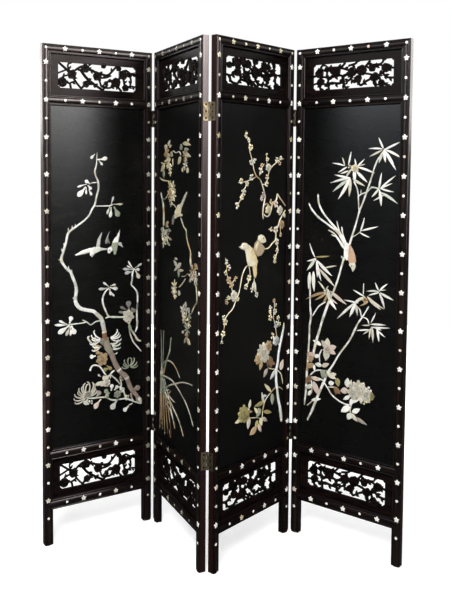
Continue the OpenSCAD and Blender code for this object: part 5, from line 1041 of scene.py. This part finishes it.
def dot_stud(carving, x, z, colour, rng):
    boss(carving, x, z, DOT_R, 0.75, colour, base=0.35, cells=7)


# Painted shade: the studs on panel 1's right stile, by the first fold, and all of panel 2's but those
# on its right stile are dull shell. Those along the top of panel 3 are cream
FOLD_SHADE_X = 380
TOP_Z = 1790


def stud_stone(number, x, z, rng):
    """White shell mostly, and here and there another stone."""
    kinds = ["white_shell"] * 8 + ["rose", "bone"] + (["cream", "olive"] if number == 3 else [])
    name = kinds[int(rng.integers(len(kinds)))]
    if number == 3 and z > TOP_Z:
        name = "cream"
    # painted shade: dull shell on the studs that lie in shade
    if (number == 1 and x > FOLD_SHADE_X) or (number == 2 and x < FOLD_SHADE_X):
        name = "dull_shell_and_stud_shade"
    return np.array(STONES[name]) * rng.uniform(0.92, 1.03)


def studs(panel, material):
    number = panel.number
    rng = np.random.default_rng(STUD_SEED + number)
    carving = Carving()

    def put(x, z, is_flower):
        cut = flower_stud if is_flower else dot_stud
        cut(carving, x, z, stud_stone(number, x, z, rng), rng)

    down = int((UPPER_RAIL_Z - STUD_PITCH) // STUD_PITCH)
    for x in (BEAD_C, PANEL_W - BEAD_C):
        carving.surface = stile_bead
        for k in range(-down, STUDS_ABOVE + 1):
            put(x, UPPER_RAIL_Z + k * STUD_PITCH, k % 2 == 0)
        carving.surface = corner_bead
        put(x, SCREEN_H - BEAD_C, False)
    low_first = number == 4
    for z, flower_first in (
        (SCREEN_H - BEAD_C, True), (UPPER_RAIL_Z, False),
        (LOWER_RAIL_Z, low_first), (BOTTOM_RAIL_Z, low_first),
    ):
        carving.surface = rail_bead(z)
        for k in range(-STUDS_ASIDE, STUDS_ASIDE + 1):
            put(PANEL_W / 2 + k * STUD_PITCH, z, (k % 2 == 0) == flower_first)
    carving.make(
        f"panel_{number}_shell_studs", panel, material, "stud_inlay", f"panel_{number}_studs"
    )


# Section of the small bead on the outer arris: distance from the outer edge and depth
ARRIS_BEAD = [
    [0.05, 3.6], [0.05, 1.7], [0.25, 1.1], [0.7, 0.65], [1.3, 0.55], [1.9, 0.8], [2.5, 1.5],
    [2.9, 2.4], [3.1, 3.6],
]
ARRIS_FOOT = 8.0


def arris_bead(panel, material):
    """A small bead up both sides of a panel and across its top, mitred at the corners."""
    points = [
        [x, depth, z] for off, depth in ARRIS_BEAD
        for x, z in (
            (off, ARRIS_FOOT), (off, SCREEN_H - off),
            (PANEL_W - off, SCREEN_H - off), (PANEL_W - off, ARRIS_FOOT),
        )
    ]
    n = len(ARRIS_BEAD)
    sides = [(a, d, c, b) for a, b, c, d in tube_faces(n, 4, False)]
    ends = [tuple(4 * r for r in range(n))[::-1], tuple(4 * r + 3 for r in range(n))]
    carving = Carving()
    carving.add(np.array(points), sides + ends, len(sides), STONES["slate"])
    carving.make(f"panel_{panel.number}_arris_bead", panel, material, "frame")


# Pierced frets
DESIGN_A = (ROSETTES_A, BLOSSOMS_A, BRANCHES_A)
DESIGN_B = (ROSETTES_B, BLOSSOMS_B, BRANCHES_B)
DESIGN_C = (ROSETTES_C, BLOSSOMS_C, BRANCHES_C)
FRET_DESIGNS = by_panel(DESIGN_A, DESIGN_A, DESIGN_B, DESIGN_C)
FRET_SPANS = {
    "upper_fret": (UPPER_RAIL_Z + RAIL_H / 2, SCREEN_H - STILE_W),
    "lower_fret": (BOTTOM_RAIL_Z + RAIL_H / 2, LOWER_RAIL_Z - RAIL_H / 2),
}
# Distance between the points round an opening, and how far a leaf may reach over its rim
RIM_STEP = 12
OVER_RIM = 3
# Heights on the fret's back: where a petal starts, and where its button stands and how high
PETAL_FOOT = 5.4
BUTTON_FOOT = 6.0
BUTTON_RISE = 1.9
RING_POINTS = 25


def fret_frame(carving, low, high):
    """The board round the open work: its corners are filled by quarter rounds, its edge eased."""
    x0, x1 = STILE_W + FRET_SIDE, PANEL_W - STILE_W - FRET_SIDE
    z0, z1 = low + FRET_RIM, high - FRET_RIM
    corners = [
        away(cx, cz, math.radians(start - turn), FRET_CORNER_R)
        for cx, cz, start in ((x0, z0, 90), (x1, z0, 180), (x1, z1, 270), (x0, z1, 0))
        for turn in range(0, 91, 15)
    ]
    inner = []
    for a, b in zip(corners, corners[1:] + corners[:1]):
        steps = max(1, int(math.dist(a, b) / RIM_STEP))
        inner += [[a[0] + (b[0] - a[0]) * k / steps, a[1] + (b[1] - a[1]) * k / steps]
                  for k in range(steps)]
    inner = np.array(inner)
    middle = np.array([(x0 + x1) / 2, (z0 + z1) / 2])
    half = np.array([PANEL_W - STILE_W + TONGUE - (STILE_W - TONGUE), high - low + 2 * TONGUE]) / 2
    ray = inner - middle
    reach = (half / np.maximum(np.abs(ray), 1e-6)).min(1)
    outer = middle + ray * reach[:, None]
    inward = ray / np.linalg.norm(ray, axis=1)[:, None]
    front = FRET_BACK - FRET_T
    rings = [
        [inner, FRET_BACK], [inner, front + 1.2], [inner + inward * 0.5, front + 0.35],
        [inner + inward * 1.4, front], [outer, front], [outer, FRET_BACK],
    ]
    n = len(inner)
    points = np.vstack([np.column_stack([p[:, 0], np.full(n, y), p[:, 1]]) for p, y in rings])
    carving.add(points, tube_faces(len(rings), n, True), 0, STONES["slate"])


def fret(panel, name, low, high, material):
    """A pierced fret: branches, blossoms with raised buttons and, on some, a ring rosette."""
    number = panel.number
    rosettes, blossoms, branches = FRET_DESIGNS[number]
    rng = np.random.default_rng(FRET_SEED + number)
    carving = Carving(flat(FRET_BACK))
    fret_frame(carving, low, high)
    opening = np.array([PANEL_W - 2 * (STILE_W + FRET_SIDE), high - low - 2 * FRET_RIM])
    stretch = opening / FRET_DRAWN
    start = np.array([STILE_W + FRET_SIDE, low + FRET_RIM])
    wood = np.array(STONES["slate"])

    def at(point):
        return start + np.array(point[:2]) * stretch

    def ribbon(points, step):
        stroke(carving, points, FRET_T, lambda x, z: wood, rng, "cut", step, rise=1.1)

    def five_petals(place, lean, reach, width, high, button):
        for k in range(5):
            turn = math.radians(90 + lean + 72 * k)
            petal(carving, *place, turn, reach, width, PETAL_FOOT, high, wood)
        boss(carving, *place, button, BUTTON_RISE, wood, base=BUTTON_FOOT)

    for branch in branches:
        points = [[*at(p), FRET_STROKE[number] * p[2]] for p in branch]
        ribbon(points, 4.0)
        for a, b in zip(points[:-1], points[1:]):
            for hand in (-1, 1):
                if rng.random() > FRET_LEAFY[number]:
                    continue
                share = rng.uniform(0.3, 0.7)
                x = a[0] + (b[0] - a[0]) * share
                z = a[1] + (b[1] - a[1]) * share
                turn = math.atan2(b[1] - a[1], b[0] - a[0]) + hand * rng.uniform(0.6, 1.0)
                tip = away(x, z, turn, rng.uniform(13, 18))
                if np.all(tip > start - OVER_RIM) and np.all(tip < start + opening + OVER_RIM):
                    leaf(carving, [x, z, *tip, rng.uniform(6, 9)], FRET_T + 0.6, wood, rng, broad=8.0)
    for x, z, r in blossoms:
        r *= FRET_BLOOM[number]
        five_petals(at([x, z]), rng.uniform(-20, 20), 1.08 * r, 1.22 * r, 8.2, r * 0.26)
    for x, z, r in rosettes:
        place = at([x, z])
        ring = np.linspace(0, 2 * np.pi, RING_POINTS)
        ribbon([[*away(*place, turn, 0.84 * r), 0.32 * r] for turn in ring], 6.0)
        five_petals(place, 0, r * 0.74, 0.86 * r, 8.0, r * 0.2)
    node = f"panel_{number}_{name}"
    carving.make(f"{node}_carving", panel, material, "fret", node)


# Inlaid pictures
STEMS = by_panel(STEMS_1, STEMS_2, STEMS_3, STEMS_4)
LEAVES = by_panel(LEAVES_1, LEAVES_2, LEAVES_3, LEAVES_4)
BLOOMS = by_panel(BLOOMS_1, BLOOMS_2, BLOOMS_3, BLOOMS_4)
CURLS = by_panel(CURLS_1, [], [], [])
FIGURES = by_panel(FIGURES_1, FIGURES_2, FIGURES_3, FIGURES_4)

# Stone of each bird's part, the way its feathers run in degrees, and its height
FIGURE_WORK = {
    1: [["grey_pearl", 70, 3.4], ["pearl", 10, 4.0], ["grey_pearl", 175, 3.4],
        ["green_pearl", 0, 5.0], ["pearl", 60, 5.6], ["slate", 75, 3.4], ["pearl", 65, 4.0],
        ["grey_pearl", 120, 3.4], ["sage", 80, 5.0], ["pearl", 20, 5.6]],
    2: [["bone", 40, 4.0], ["slate", 20, 3.4], ["bone", 0, 3.4], ["cream", 60, 5.0],
        ["bone", 60, 5.6]],
    3: [["fawn", 55, 4.4], ["cream", 50, 5.2], ["ivory", 20, 6.2], ["gold", 85, 3.6],
        ["ivory", 120, 4.8], ["gold", 125, 5.8], ["ivory", 10, 6.2]],
    4: [["pearl", 100, 4.6], ["peach", 110, 5.2], ["bone", 100, 6.0]],
}
# Width of the stems of each picture, as a share of the drawn width
STEM_SHARE = by_panel(0.9, 0.7, 0.6, 0.74)
# The same for leaves, and for the bamboo leaves above a height on panel 4
LEAF_SHARE = 0.9
BAMBOO_SHARE = 0.72
BAMBOO_FROM_Z = 800
# Length of stem that is cut from one stone
STEM_PIECE = 18
BRANCH_TALL = 4.2
LEAF_TALL = 2.6
BLOOM_TALL = 4.6
SMALL_BLOOM_R = 12
SMALL_BLOOM_TALL = 0.7 * BLOOM_TALL
EYE_TALL = 1.2
EYE_FOOT = 5.9


def picture(panel, material):
    number = panel.number
    rng = np.random.default_rng(PICTURE_SEED + number)
    dx = PICTURE_SHIFT[number]
    bamboo = number == 4
    branches, foliage, flowers, birds = (Carving(flat(BOARD_FACE)) for _ in range(4))

    for line in STEMS[number]:
        shade = rng.uniform(0.9, 1.03)

        def colour_at(x, z):
            piece_rng = np.random.default_rng(int(z) // STEM_PIECE)
            return shade * stone_at(number, x - dx, z, piece_rng)

        points = [[x + dx, z, width * STEM_SHARE[number]] for x, z, width in line]
        grain = "bamboo" if bamboo and len(line) > 3 else "bark"
        stroke(branches, points, BRANCH_TALL, colour_at, rng, grain)

    for x, z, tip_x, tip_z, width in LEAVES[number]:
        colour = stone_at(number, (x + tip_x) / 2, (z + tip_z) / 2, rng)
        share = BAMBOO_SHARE if bamboo and z > BAMBOO_FROM_Z else LEAF_SHARE
        tall = LEAF_TALL * rng.uniform(0.85, 1.15)
        shape = spoon_half if number == 1 else leaf_half
        leaf(foliage, [x + dx, z, tip_x + dx, tip_z, width * share], tall, colour, rng, shape=shape)

    for x, z, r, count in BLOOMS[number]:
        colour = stone_at(number, x, z, rng)
        tall = SMALL_BLOOM_TALL if r < SMALL_BLOOM_R else BLOOM_TALL
        cut = spray if number == 2 else blossom
        cut(flowers, [x + dx, z, r, count], tall, colour, rng)
    for x, z, reach, *fan in CURLS[number]:
        colour = stone_at(number, x, z + 0.6 * reach, rng)
        curled_flower(flowers, [x + dx, z, reach, *fan], LEAF_TALL, colour, rng)

    for outline, (stone, lay, tall) in zip(FIGURES[number], FIGURE_WORK[number]):
        turn = math.radians(lay)

        def feathers(x, z):
            across = -x * math.sin(turn) + z * math.cos(turn)
            along = x * math.cos(turn) + z * math.sin(turn)
            return 0.4 * np.sin(across / 1.1) + 0.3 * np.sin(along / 2.6 + np.sin(across / 3))

        outline = [[x + dx, z] for x, z in outline]
        figure(birds, outline, tall, np.array(STONES[stone]), feathers)
    for x, z, r in EYES[number]:
        boss(birds, x + dx, z, r, EYE_TALL, STONES["jet"], base=EYE_FOOT)

    for name, carving in (
        ("branches", branches), ("leaves", foliage), ("flowers", flowers), ("birds", birds),
    ):
        carving.make(
            f"panel_{number}_{name}", panel, material, "picture_inlay", f"panel_{number}_picture"
        )


# Shaders. A shade is a colour or, as a single number, a grey
def rgba(shade):
    return (*shade, 1) if isinstance(shade, tuple) else (shade, shade, shade, 1)


def add_node(tree, kind, **settings):
    node = tree.nodes.new(f"ShaderNode{kind}")
    for key, value in settings.items():
        setattr(node, key, value)
    return node


def feed(tree, node, sockets):
    """Links the given sockets to a node's inputs, and sets the inputs that are given a value."""
    for key, value in sockets.items():
        socket = node.inputs[key]
        if isinstance(value, bpy.types.NodeSocket):
            tree.links.new(value, socket)
        else:
            socket.default_value = rgba(value) if socket.type == "RGBA" else value


def noise(tree, place, scale, detail=3.0, distortion=0.0):
    node = add_node(tree, "TexNoise")
    feed(tree, node, {
        "Vector": place, "Scale": scale, "Detail": detail, "Distortion": distortion,
    })
    return node.outputs["Fac"]


def ramp(tree, value, stops):
    """A shade that follows a value through stops, each a place from 0 to 1 and a shade."""
    node = add_node(tree, "ValToRGB")
    elements = node.color_ramp.elements
    while len(elements) < len(stops):
        elements.new(0.5)
    for element, (place, shade) in zip(elements, stops):
        element.position = place
        element.color = rgba(shade)
    feed(tree, node, {"Fac": value})
    return node.outputs["Color"]


def mix(tree, fac, a, b, blend="MIX"):
    node = add_node(tree, "Mix", data_type="RGBA", blend_type=blend)
    feed(tree, node, {0: fac, 6: a, 7: b})
    return node.outputs[2]


def times(tree, a, b, fac=1.0):
    return mix(tree, fac, a, b, "MULTIPLY")


def number_maths(tree, operation, a, b):
    node = add_node(tree, "Math", operation=operation)
    feed(tree, node, {0: a, 1: b})
    return node.outputs["Value"]


def stretched(tree, place, scale):
    node = add_node(tree, "VectorMath", operation="MULTIPLY")
    feed(tree, node, {0: place, 1: scale})
    return node.outputs["Vector"]


def split_place(tree, place):
    node = add_node(tree, "SeparateXYZ")
    feed(tree, node, {"Vector": place})
    return node.outputs


def screen_place(tree):
    """The place on the whole screen, in metres."""
    return add_node(tree, "TexCoord").outputs["Object"]


def panel_place(tree, panel):
    """The place in a panel's own frame, in metres: along it, back from the bead and up."""
    node = add_node(tree, "Mapping")
    feed(tree, node, {
        "Vector": screen_place(tree),
        "Rotation": (0, 0, -panel.turn),
        "Location": (-panel.corner @ panel.along, -panel.corner @ panel.back, 0),
    })
    return node.outputs["Vector"]


def bump(tree, height, shader, strength, distance):
    node = add_node(tree, "Bump")
    feed(tree, node, {"Strength": strength, "Distance": distance, "Height": height})
    feed(tree, shader, {"Normal": node.outputs["Normal"]})


def node_group(name, inputs, outputs):
    """An empty shader group with its sockets: name and kind."""
    group = bpy.data.node_groups.new(name, "ShaderNodeTree")
    for in_out, sockets in (("INPUT", inputs), ("OUTPUT", outputs)):
        for label, kind in sockets.items():
            group.interface.new_socket(label, in_out=in_out, socket_type=f"NodeSocket{kind}")
    return group, group.nodes.new("NodeGroupInput").outputs, group.nodes.new("NodeGroupOutput")


def rosewood_figure_group():
    """Rosewood figure along one way of the panel: colour, height of the pores and polish."""
    group, inlet, outlet = node_group(
        "rosewood_figure", {"Place": "Vector", "Dark": "Color", "Light": "Color"},
        {"Colour": "Color", "Pores": "Float", "Polish": "Float"},
    )
    bands = noise(group, inlet["Place"], 1.0, 5.0, 0.6)
    pores = noise(group, inlet["Place"], 6.0, 2.0, 0.2)
    tone = ramp(group, bands, [(0.36, 0), (0.66, 1)])
    streak = ramp(group, pores, [(0.30, 0.45), (0.46, 1)])
    feed(group, outlet, {
        "Colour": times(group, mix(group, tone, inlet["Dark"], inlet["Light"]), streak),
        "Pores": streak,
        "Polish": ramp(group, bands, [(0.3, 0.24), (0.7, 0.36)]),
    })
    return group


def cut_stone_group():
    """Cut shell and stone: cloudy colour, fine carving marks and a change of gloss."""
    group, inlet, outlet = node_group(
        "cut_stone", {"Place": "Vector", "Stone": "Color"},
        {"Colour": "Color", "Marks": "Float", "Polish": "Float"},
    )
    cloud = noise(group, inlet["Place"], 70.0, 4.0, 0.8)
    sheen = noise(group, inlet["Place"], 38.0, 2.0, 1.5)
    veil = ramp(group, cloud, [(0.3, 0.8), (0.55, 1)])
    lustre = ramp(group, sheen, [
        (0.35, (1.0, 0.95, 0.95)), (0.5, (1.0, 1.0, 0.98)), (0.65, (0.95, 1.0, 0.97)),
    ])
    feed(group, outlet, {
        "Colour": times(group, times(group, inlet["Stone"], veil), lustre, 0.8),
        "Marks": noise(group, inlet["Place"], 260.0, 3.0, 0.4),
        "Polish": ramp(group, cloud, [(0.3, 0.42), (0.7, 0.26)]),
    })
    return group


ROSEWOOD_FIGURE = rosewood_figure_group()
CUT_STONE = cut_stone_group()


def new_material(name):
    material = bpy.data.materials.new(name)
    material.use_nodes = True
    return material, material.node_tree, material.node_tree.nodes["Principled BSDF"]


ROSE_DARK = paint(10, 8, 8)
ROSE_LIGHT = paint(28, 19, 17)
ROSE_EDGE = paint(30, 14, 11)
# Pale rubbed wood of the arris: partly wear, partly a painted highlight
WORN_HIGHLIT_WOOD = paint(88, 74, 69)
METRE = 1000


def rosewood(name, panel, scale, shine, upright=False, worn_and_highlit=False):
    """Polished rosewood whose figure runs along the piece, darker in the groove. An upright piece
    shows its red wood on the outer faces of a panel. A worn and highlit piece is rubbed pale on its
    outer arris: partly wear, partly a painted highlight that fades out towards the floor."""
    material, tree, shader = new_material(name)
    place = panel_place(tree, panel)
    group = add_node(tree, "Group", node_tree=ROSEWOOD_FIGURE)
    feed(tree, group, {
        "Dark": ROSE_DARK, "Light": ROSE_LIGHT, "Place": stretched(tree, place, scale),
    })
    pores = group.outputs["Pores"]
    share = split_place(tree, stretched(tree, place, (METRE / PANEL_W, METRE / FRAME_T, 1)))
    groove = ramp(tree, share["Y"], [(0.02, 1), (0.10, 0.85), (0.17, 0.35), (0.24, 0.8)])
    colour = times(tree, group.outputs["Colour"], groove)
    if upright:
        sides = ramp(tree, share["X"], [(0.002, 1), (0.004, 0), (0.996, 0), (0.998, 1)])
        red = times(tree, ROSE_EDGE, mix(tree, pores, 0.6, 1))
        colour = mix(tree, sides, colour, red)
    # Painted highlight with rubbed wear: a pale band on the left stile's outer arris, in patches,
    # fading out below half a metre
    if worn_and_highlit:
        rub_and_highlight = ramp(tree, share["X"], [(0.007, 1), (0.016, 0)])
        patches = noise(tree, stretched(tree, place, (60, 60, 9)), 1.0, 4.0, 0.4)
        rub_and_highlight = times(tree, rub_and_highlight, ramp(tree, patches, [(0.35, 0.35), (0.6, 1)]))
        rub_and_highlight = times(tree, rub_and_highlight, ramp(tree, share["Z"], [(0.25, 0.1), (0.5, 1)]))
        colour = mix(tree, rub_and_highlight, colour, WORN_HIGHLIT_WOOD)
    feed(tree, shader, {
        "Base Color": colour,
        "Roughness": group.outputs["Polish"],
        "Specular IOR Level": shine,
        "Specular Tint": (1.0, 0.88, 0.86),
    })
    bump(tree, pores, shader, 0.12, 0.0004)
    return material


def shell(name):
    """Shell, bone and soapstone of the inlay, each piece in its own colour."""
    material, tree, shader = new_material(name)
    group = add_node(tree, "Group", node_tree=CUT_STONE)
    stone = add_node(tree, "Attribute", attribute_name="stone_colour").outputs["Color"]
    feed(tree, group, {"Stone": stone, "Place": screen_place(tree)})
    feed(tree, shader, {
        "Base Color": group.outputs["Colour"],
        "Roughness": group.outputs["Polish"],
        "Coat Weight": 0.35,
        "Coat Roughness": 0.12,
    })
    bump(tree, group.outputs["Marks"], shader, 0.3, 0.0006)
    return material


def lacquer(name, panel, dull, shine):
    """Black lacquer rubbed down the board: near black, its sheen changing in soft level streaks."""
    material, tree, shader = new_material(name)
    place = panel_place(tree, panel)
    cloud = noise(tree, stretched(tree, place, (7, 1, 3)), 1.0, 4.0, 0.4)
    streaks = noise(tree, stretched(tree, place, (9, 1, 30)), 1.0, 4.0, 0.5)
    feed(tree, shader, {
        "Base Color": ramp(tree, cloud, [(0.3, paint(7, 7, 7)), (0.7, paint(14, 14, 13))]),
        "Roughness": ramp(tree, streaks, [(0.3, dull - 0.03), (0.7, dull + 0.03)]),
        "Specular IOR Level": shine,
    })
    bump(tree, noise(tree, place, 90.0), shader, 0.05, 0.0003)
    return material


def brass(name, bright, dull):
    """Old brass, darkened in patches."""
    material, tree, shader = new_material(name)
    place = screen_place(tree)
    patches = noise(tree, place, 55.0, 5.0, 0.6)
    feed(tree, shader, {
        "Base Color": ramp(tree, patches, [(0.35, dull), (0.62, bright)]),
        "Roughness": ramp(tree, patches, [(0.3, 0.6), (0.7, 0.44)]),
        "Metallic": 1.0,
    })
    scratches = noise(tree, stretched(tree, place, (900, 900, 60)), 1.0, 2.0)
    bump(tree, scratches, shader, 0.2, 0.0002)
    return material


# Camera, fitted to the panels' corners and studs in the photograph.
CAMERA_PLACE = (-0.1028, -2.7273, 1.3820)
CAMERA_PITCH = -3.366
CAMERA_ROLL = 0.31
SENSOR = 36.0
# In pixels of the photograph: its size, the focal length and the middle of the view
PHOTO_W, PHOTO_H = 451, 600
FOCAL = 755.5
PRINCIPAL = (191.2, 215.0)


def put_camera():
    data = bpy.data.cameras.new("camera")
    data.sensor_width = SENSOR
    data.lens = FOCAL * SENSOR / PHOTO_H
    data.shift_x = (PHOTO_W / 2 - PRINCIPAL[0]) / PHOTO_H
    data.shift_y = (PRINCIPAL[1] - PHOTO_H / 2) / PHOTO_H
    data.clip_end = 60
    camera = put_in_scene("camera", data)
    camera.rotation_mode = "ZXY"
    camera.location = CAMERA_PLACE
    camera.rotation_euler = (math.radians(90 + CAMERA_PITCH), 0, math.radians(CAMERA_ROLL))
    bpy.context.scene.camera = camera


# Studio: a pale floor, a white backdrop and soft boxes
def softbox(name, place, aim, size, power, colour=(1, 1, 1), card=False):
    """A soft light. A card is seen only in polished surfaces."""
    data = bpy.data.lights.new(name, "AREA")
    data.shape = "RECTANGLE"
    data.size, data.size_y = size
    data.energy = power
    data.color = colour
    lamp = put_in_scene(name, data)
    lamp.location = place
    lamp.rotation_euler = (Vector(aim) - Vector(place)).to_track_quat("-Z", "Y").to_euler()
    lamp.visible_diffuse = not card


AMBIENT = 0.28


def backdrop():
    """White behind the screen for what looks at it, darker in front, plain grey as light."""
    world = bpy.data.worlds.new("studio")
    bpy.context.scene.world = world
    world.use_nodes = True
    tree = world.node_tree
    rays = add_node(tree, "LightPath").outputs
    seen = rays["Is Camera Ray"]
    for other in ("Is Glossy Ray", "Is Transmission Ray"):
        seen = number_maths(tree, "MAXIMUM", seen, rays[other])
    direction = split_place(tree, add_node(tree, "TexCoord").outputs["Generated"])
    behind = ramp(tree, direction["Y"], [(0.86, 0.03), (0.97, 1)])
    studio = mix(tree, rays["Is Camera Ray"], behind, 1)
    feed(tree, tree.nodes["Background"], {"Color": mix(tree, seen, AMBIENT, studio)})


FLOOR_REACH = 4.0


def floor():
    """A pale floor that turns white away from the screen, and that polished wood sees as dark."""
    mesh = bpy.data.meshes.new("floor")
    sides = [(-1, -1), (1, -1), (1, 1), (-1, 1)]
    mesh.from_pydata([(x * FLOOR_REACH, y * FLOOR_REACH, 0) for x, y in sides], [], [(0, 1, 2, 3)])
    plane = put_in_scene("floor", mesh)
    material, tree, shader = new_material("pale_floor")
    rays = add_node(tree, "LightPath").outputs
    distance = add_node(tree, "VectorMath", operation="LENGTH")
    feed(tree, distance, {0: screen_place(tree)})
    share = number_maths(tree, "MULTIPLY", distance.outputs["Value"], 1 / FLOOR_REACH)
    white = ramp(tree, share, [(0.2, 0.38), (0.42, 1)])
    feed(tree, shader, {
        "Base Color": mix(tree, rays["Is Glossy Ray"], 0.8, 0.05),
        "Roughness": 0.9,
        "Specular IOR Level": 0.1,
        "Emission Color": 1,
        "Emission Strength": number_maths(tree, "MULTIPLY", rays["Is Camera Ray"], white),
    })
    mesh.materials.append(material)


# Putting it together
bpy.context.scene.view_settings.view_transform = "Standard"
put_camera()
backdrop()
floor()
softbox("right_card", (2.75, -2.45, 2.85), (-0.3, 0, 2.0), (1.5, 1.5), 250, card=True)
softbox("right_low_card", (2.75, -2.45, 1.72), (-0.3, 0, 1.72), (1.5, 0.56), 15, card=True)
softbox("left_card", (-3.4, -2.0, 2.85), (0.3, 0, 1.9), (1.4, 1.4), 100, (0.86, 0.93, 1.0), True)
softbox("front_softbox", (-0.7, -3.8, 3.6), (0, 0, 1.0), (1.8, 1.4), 220)
softbox("top_softbox", (0, -0.4, 4.2), (0, 0, 0), (3.0, 3.0), 70)
softbox("back_softbox", (0.8, 3.6, 3.2), (0, 0, 1.1), (1.8, 1.4), 70)
softbox("back_left_card", (-3.4, 1.9, 2.4), (0, 0, 1.3), (1.5, 1.6), 60, card=True)
softbox("back_right_card", (3.4, 1.0, 2.4), (0, 0, 1.3), (1.5, 1.6), 60, card=True)

# Roughness of each board's lacquer, and the shine of each panel's board, stiles, rails and frets
BOARD_DULL = by_panel(0.27, 0.44, 0.42, 0.28)
BOARD_SHINE = by_panel(0.2, 0.14, 0.1, 0.19)
UPRIGHT_SHINE = by_panel(0.35, 0.32, 0.14, 0.3)
LEVEL_SHINE = by_panel(0.28, 0.2, 0.05, 0.1)
FRET_SHINE = by_panel(0.05, 0.04, 0.02, 0.03)
# Fineness of the wood's figure across, through and up the panel
UPRIGHT = (90, 90, 5)
LEVEL = (5, 90, 90)
FRET_GRAIN = (14, 90, 60)
inlay = shell("shell_and_soapstone")
stud_shell = shell("stud_shell")
hinge_brass = brass("old_brass", paint(118, 106, 84), paint(84, 74, 58))
# Painted shade: the hinge brass again, darker, for the hinges in the two folds that open away
shaded_brass = brass("shaded_brass", paint(74, 64, 50), paint(40, 34, 28))
screw_brass = brass("screw_brass", paint(44, 34, 20), paint(20, 15, 9))


def finish_node(name, material):
    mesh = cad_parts[name].data
    mesh.materials.clear()
    mesh.materials.append(material)


for number in PANELS:
    panel = Panel(number)
    level_wood = rosewood(f"rosewood_level_{number}", panel, LEVEL, LEVEL_SHINE[number])
    # Panel 1's uprights carry the painted highlight on their outer arris
    upright_wood = rosewood(
        f"rosewood_upright_{number}", panel, UPRIGHT, UPRIGHT_SHINE[number],
        upright=True, worn_and_highlit=number == 1,
    )
    fret_wood = rosewood(f"fret_rosewood_{number}", panel, FRET_GRAIN, FRET_SHINE[number])
    black = lacquer(f"black_lacquer_{number}", panel, BOARD_DULL[number], BOARD_SHINE[number])
    for side in ("left", "right"):
        finish_node(f"panel_{number}_{side}_stile", upright_wood)
    for rail in ("top", "upper", "lower", "bottom"):
        finish_node(f"panel_{number}_{rail}_rail", level_wood)
    finish_node(f"panel_{number}_board", black)
    finish_node(f"panel_{number}_screws", screw_brass)
    arris_bead(panel, upright_wood)
    studs(panel, stud_shell)
    for name, (low, high) in FRET_SPANS.items():
        fret(panel, name, low, high, fret_wood)
    picture(panel, inlay)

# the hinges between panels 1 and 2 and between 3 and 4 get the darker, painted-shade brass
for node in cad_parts:
    if node.startswith("hinge"):
        finish_node(node, hinge_brass if node.startswith("hinge_23") else shaded_brass)
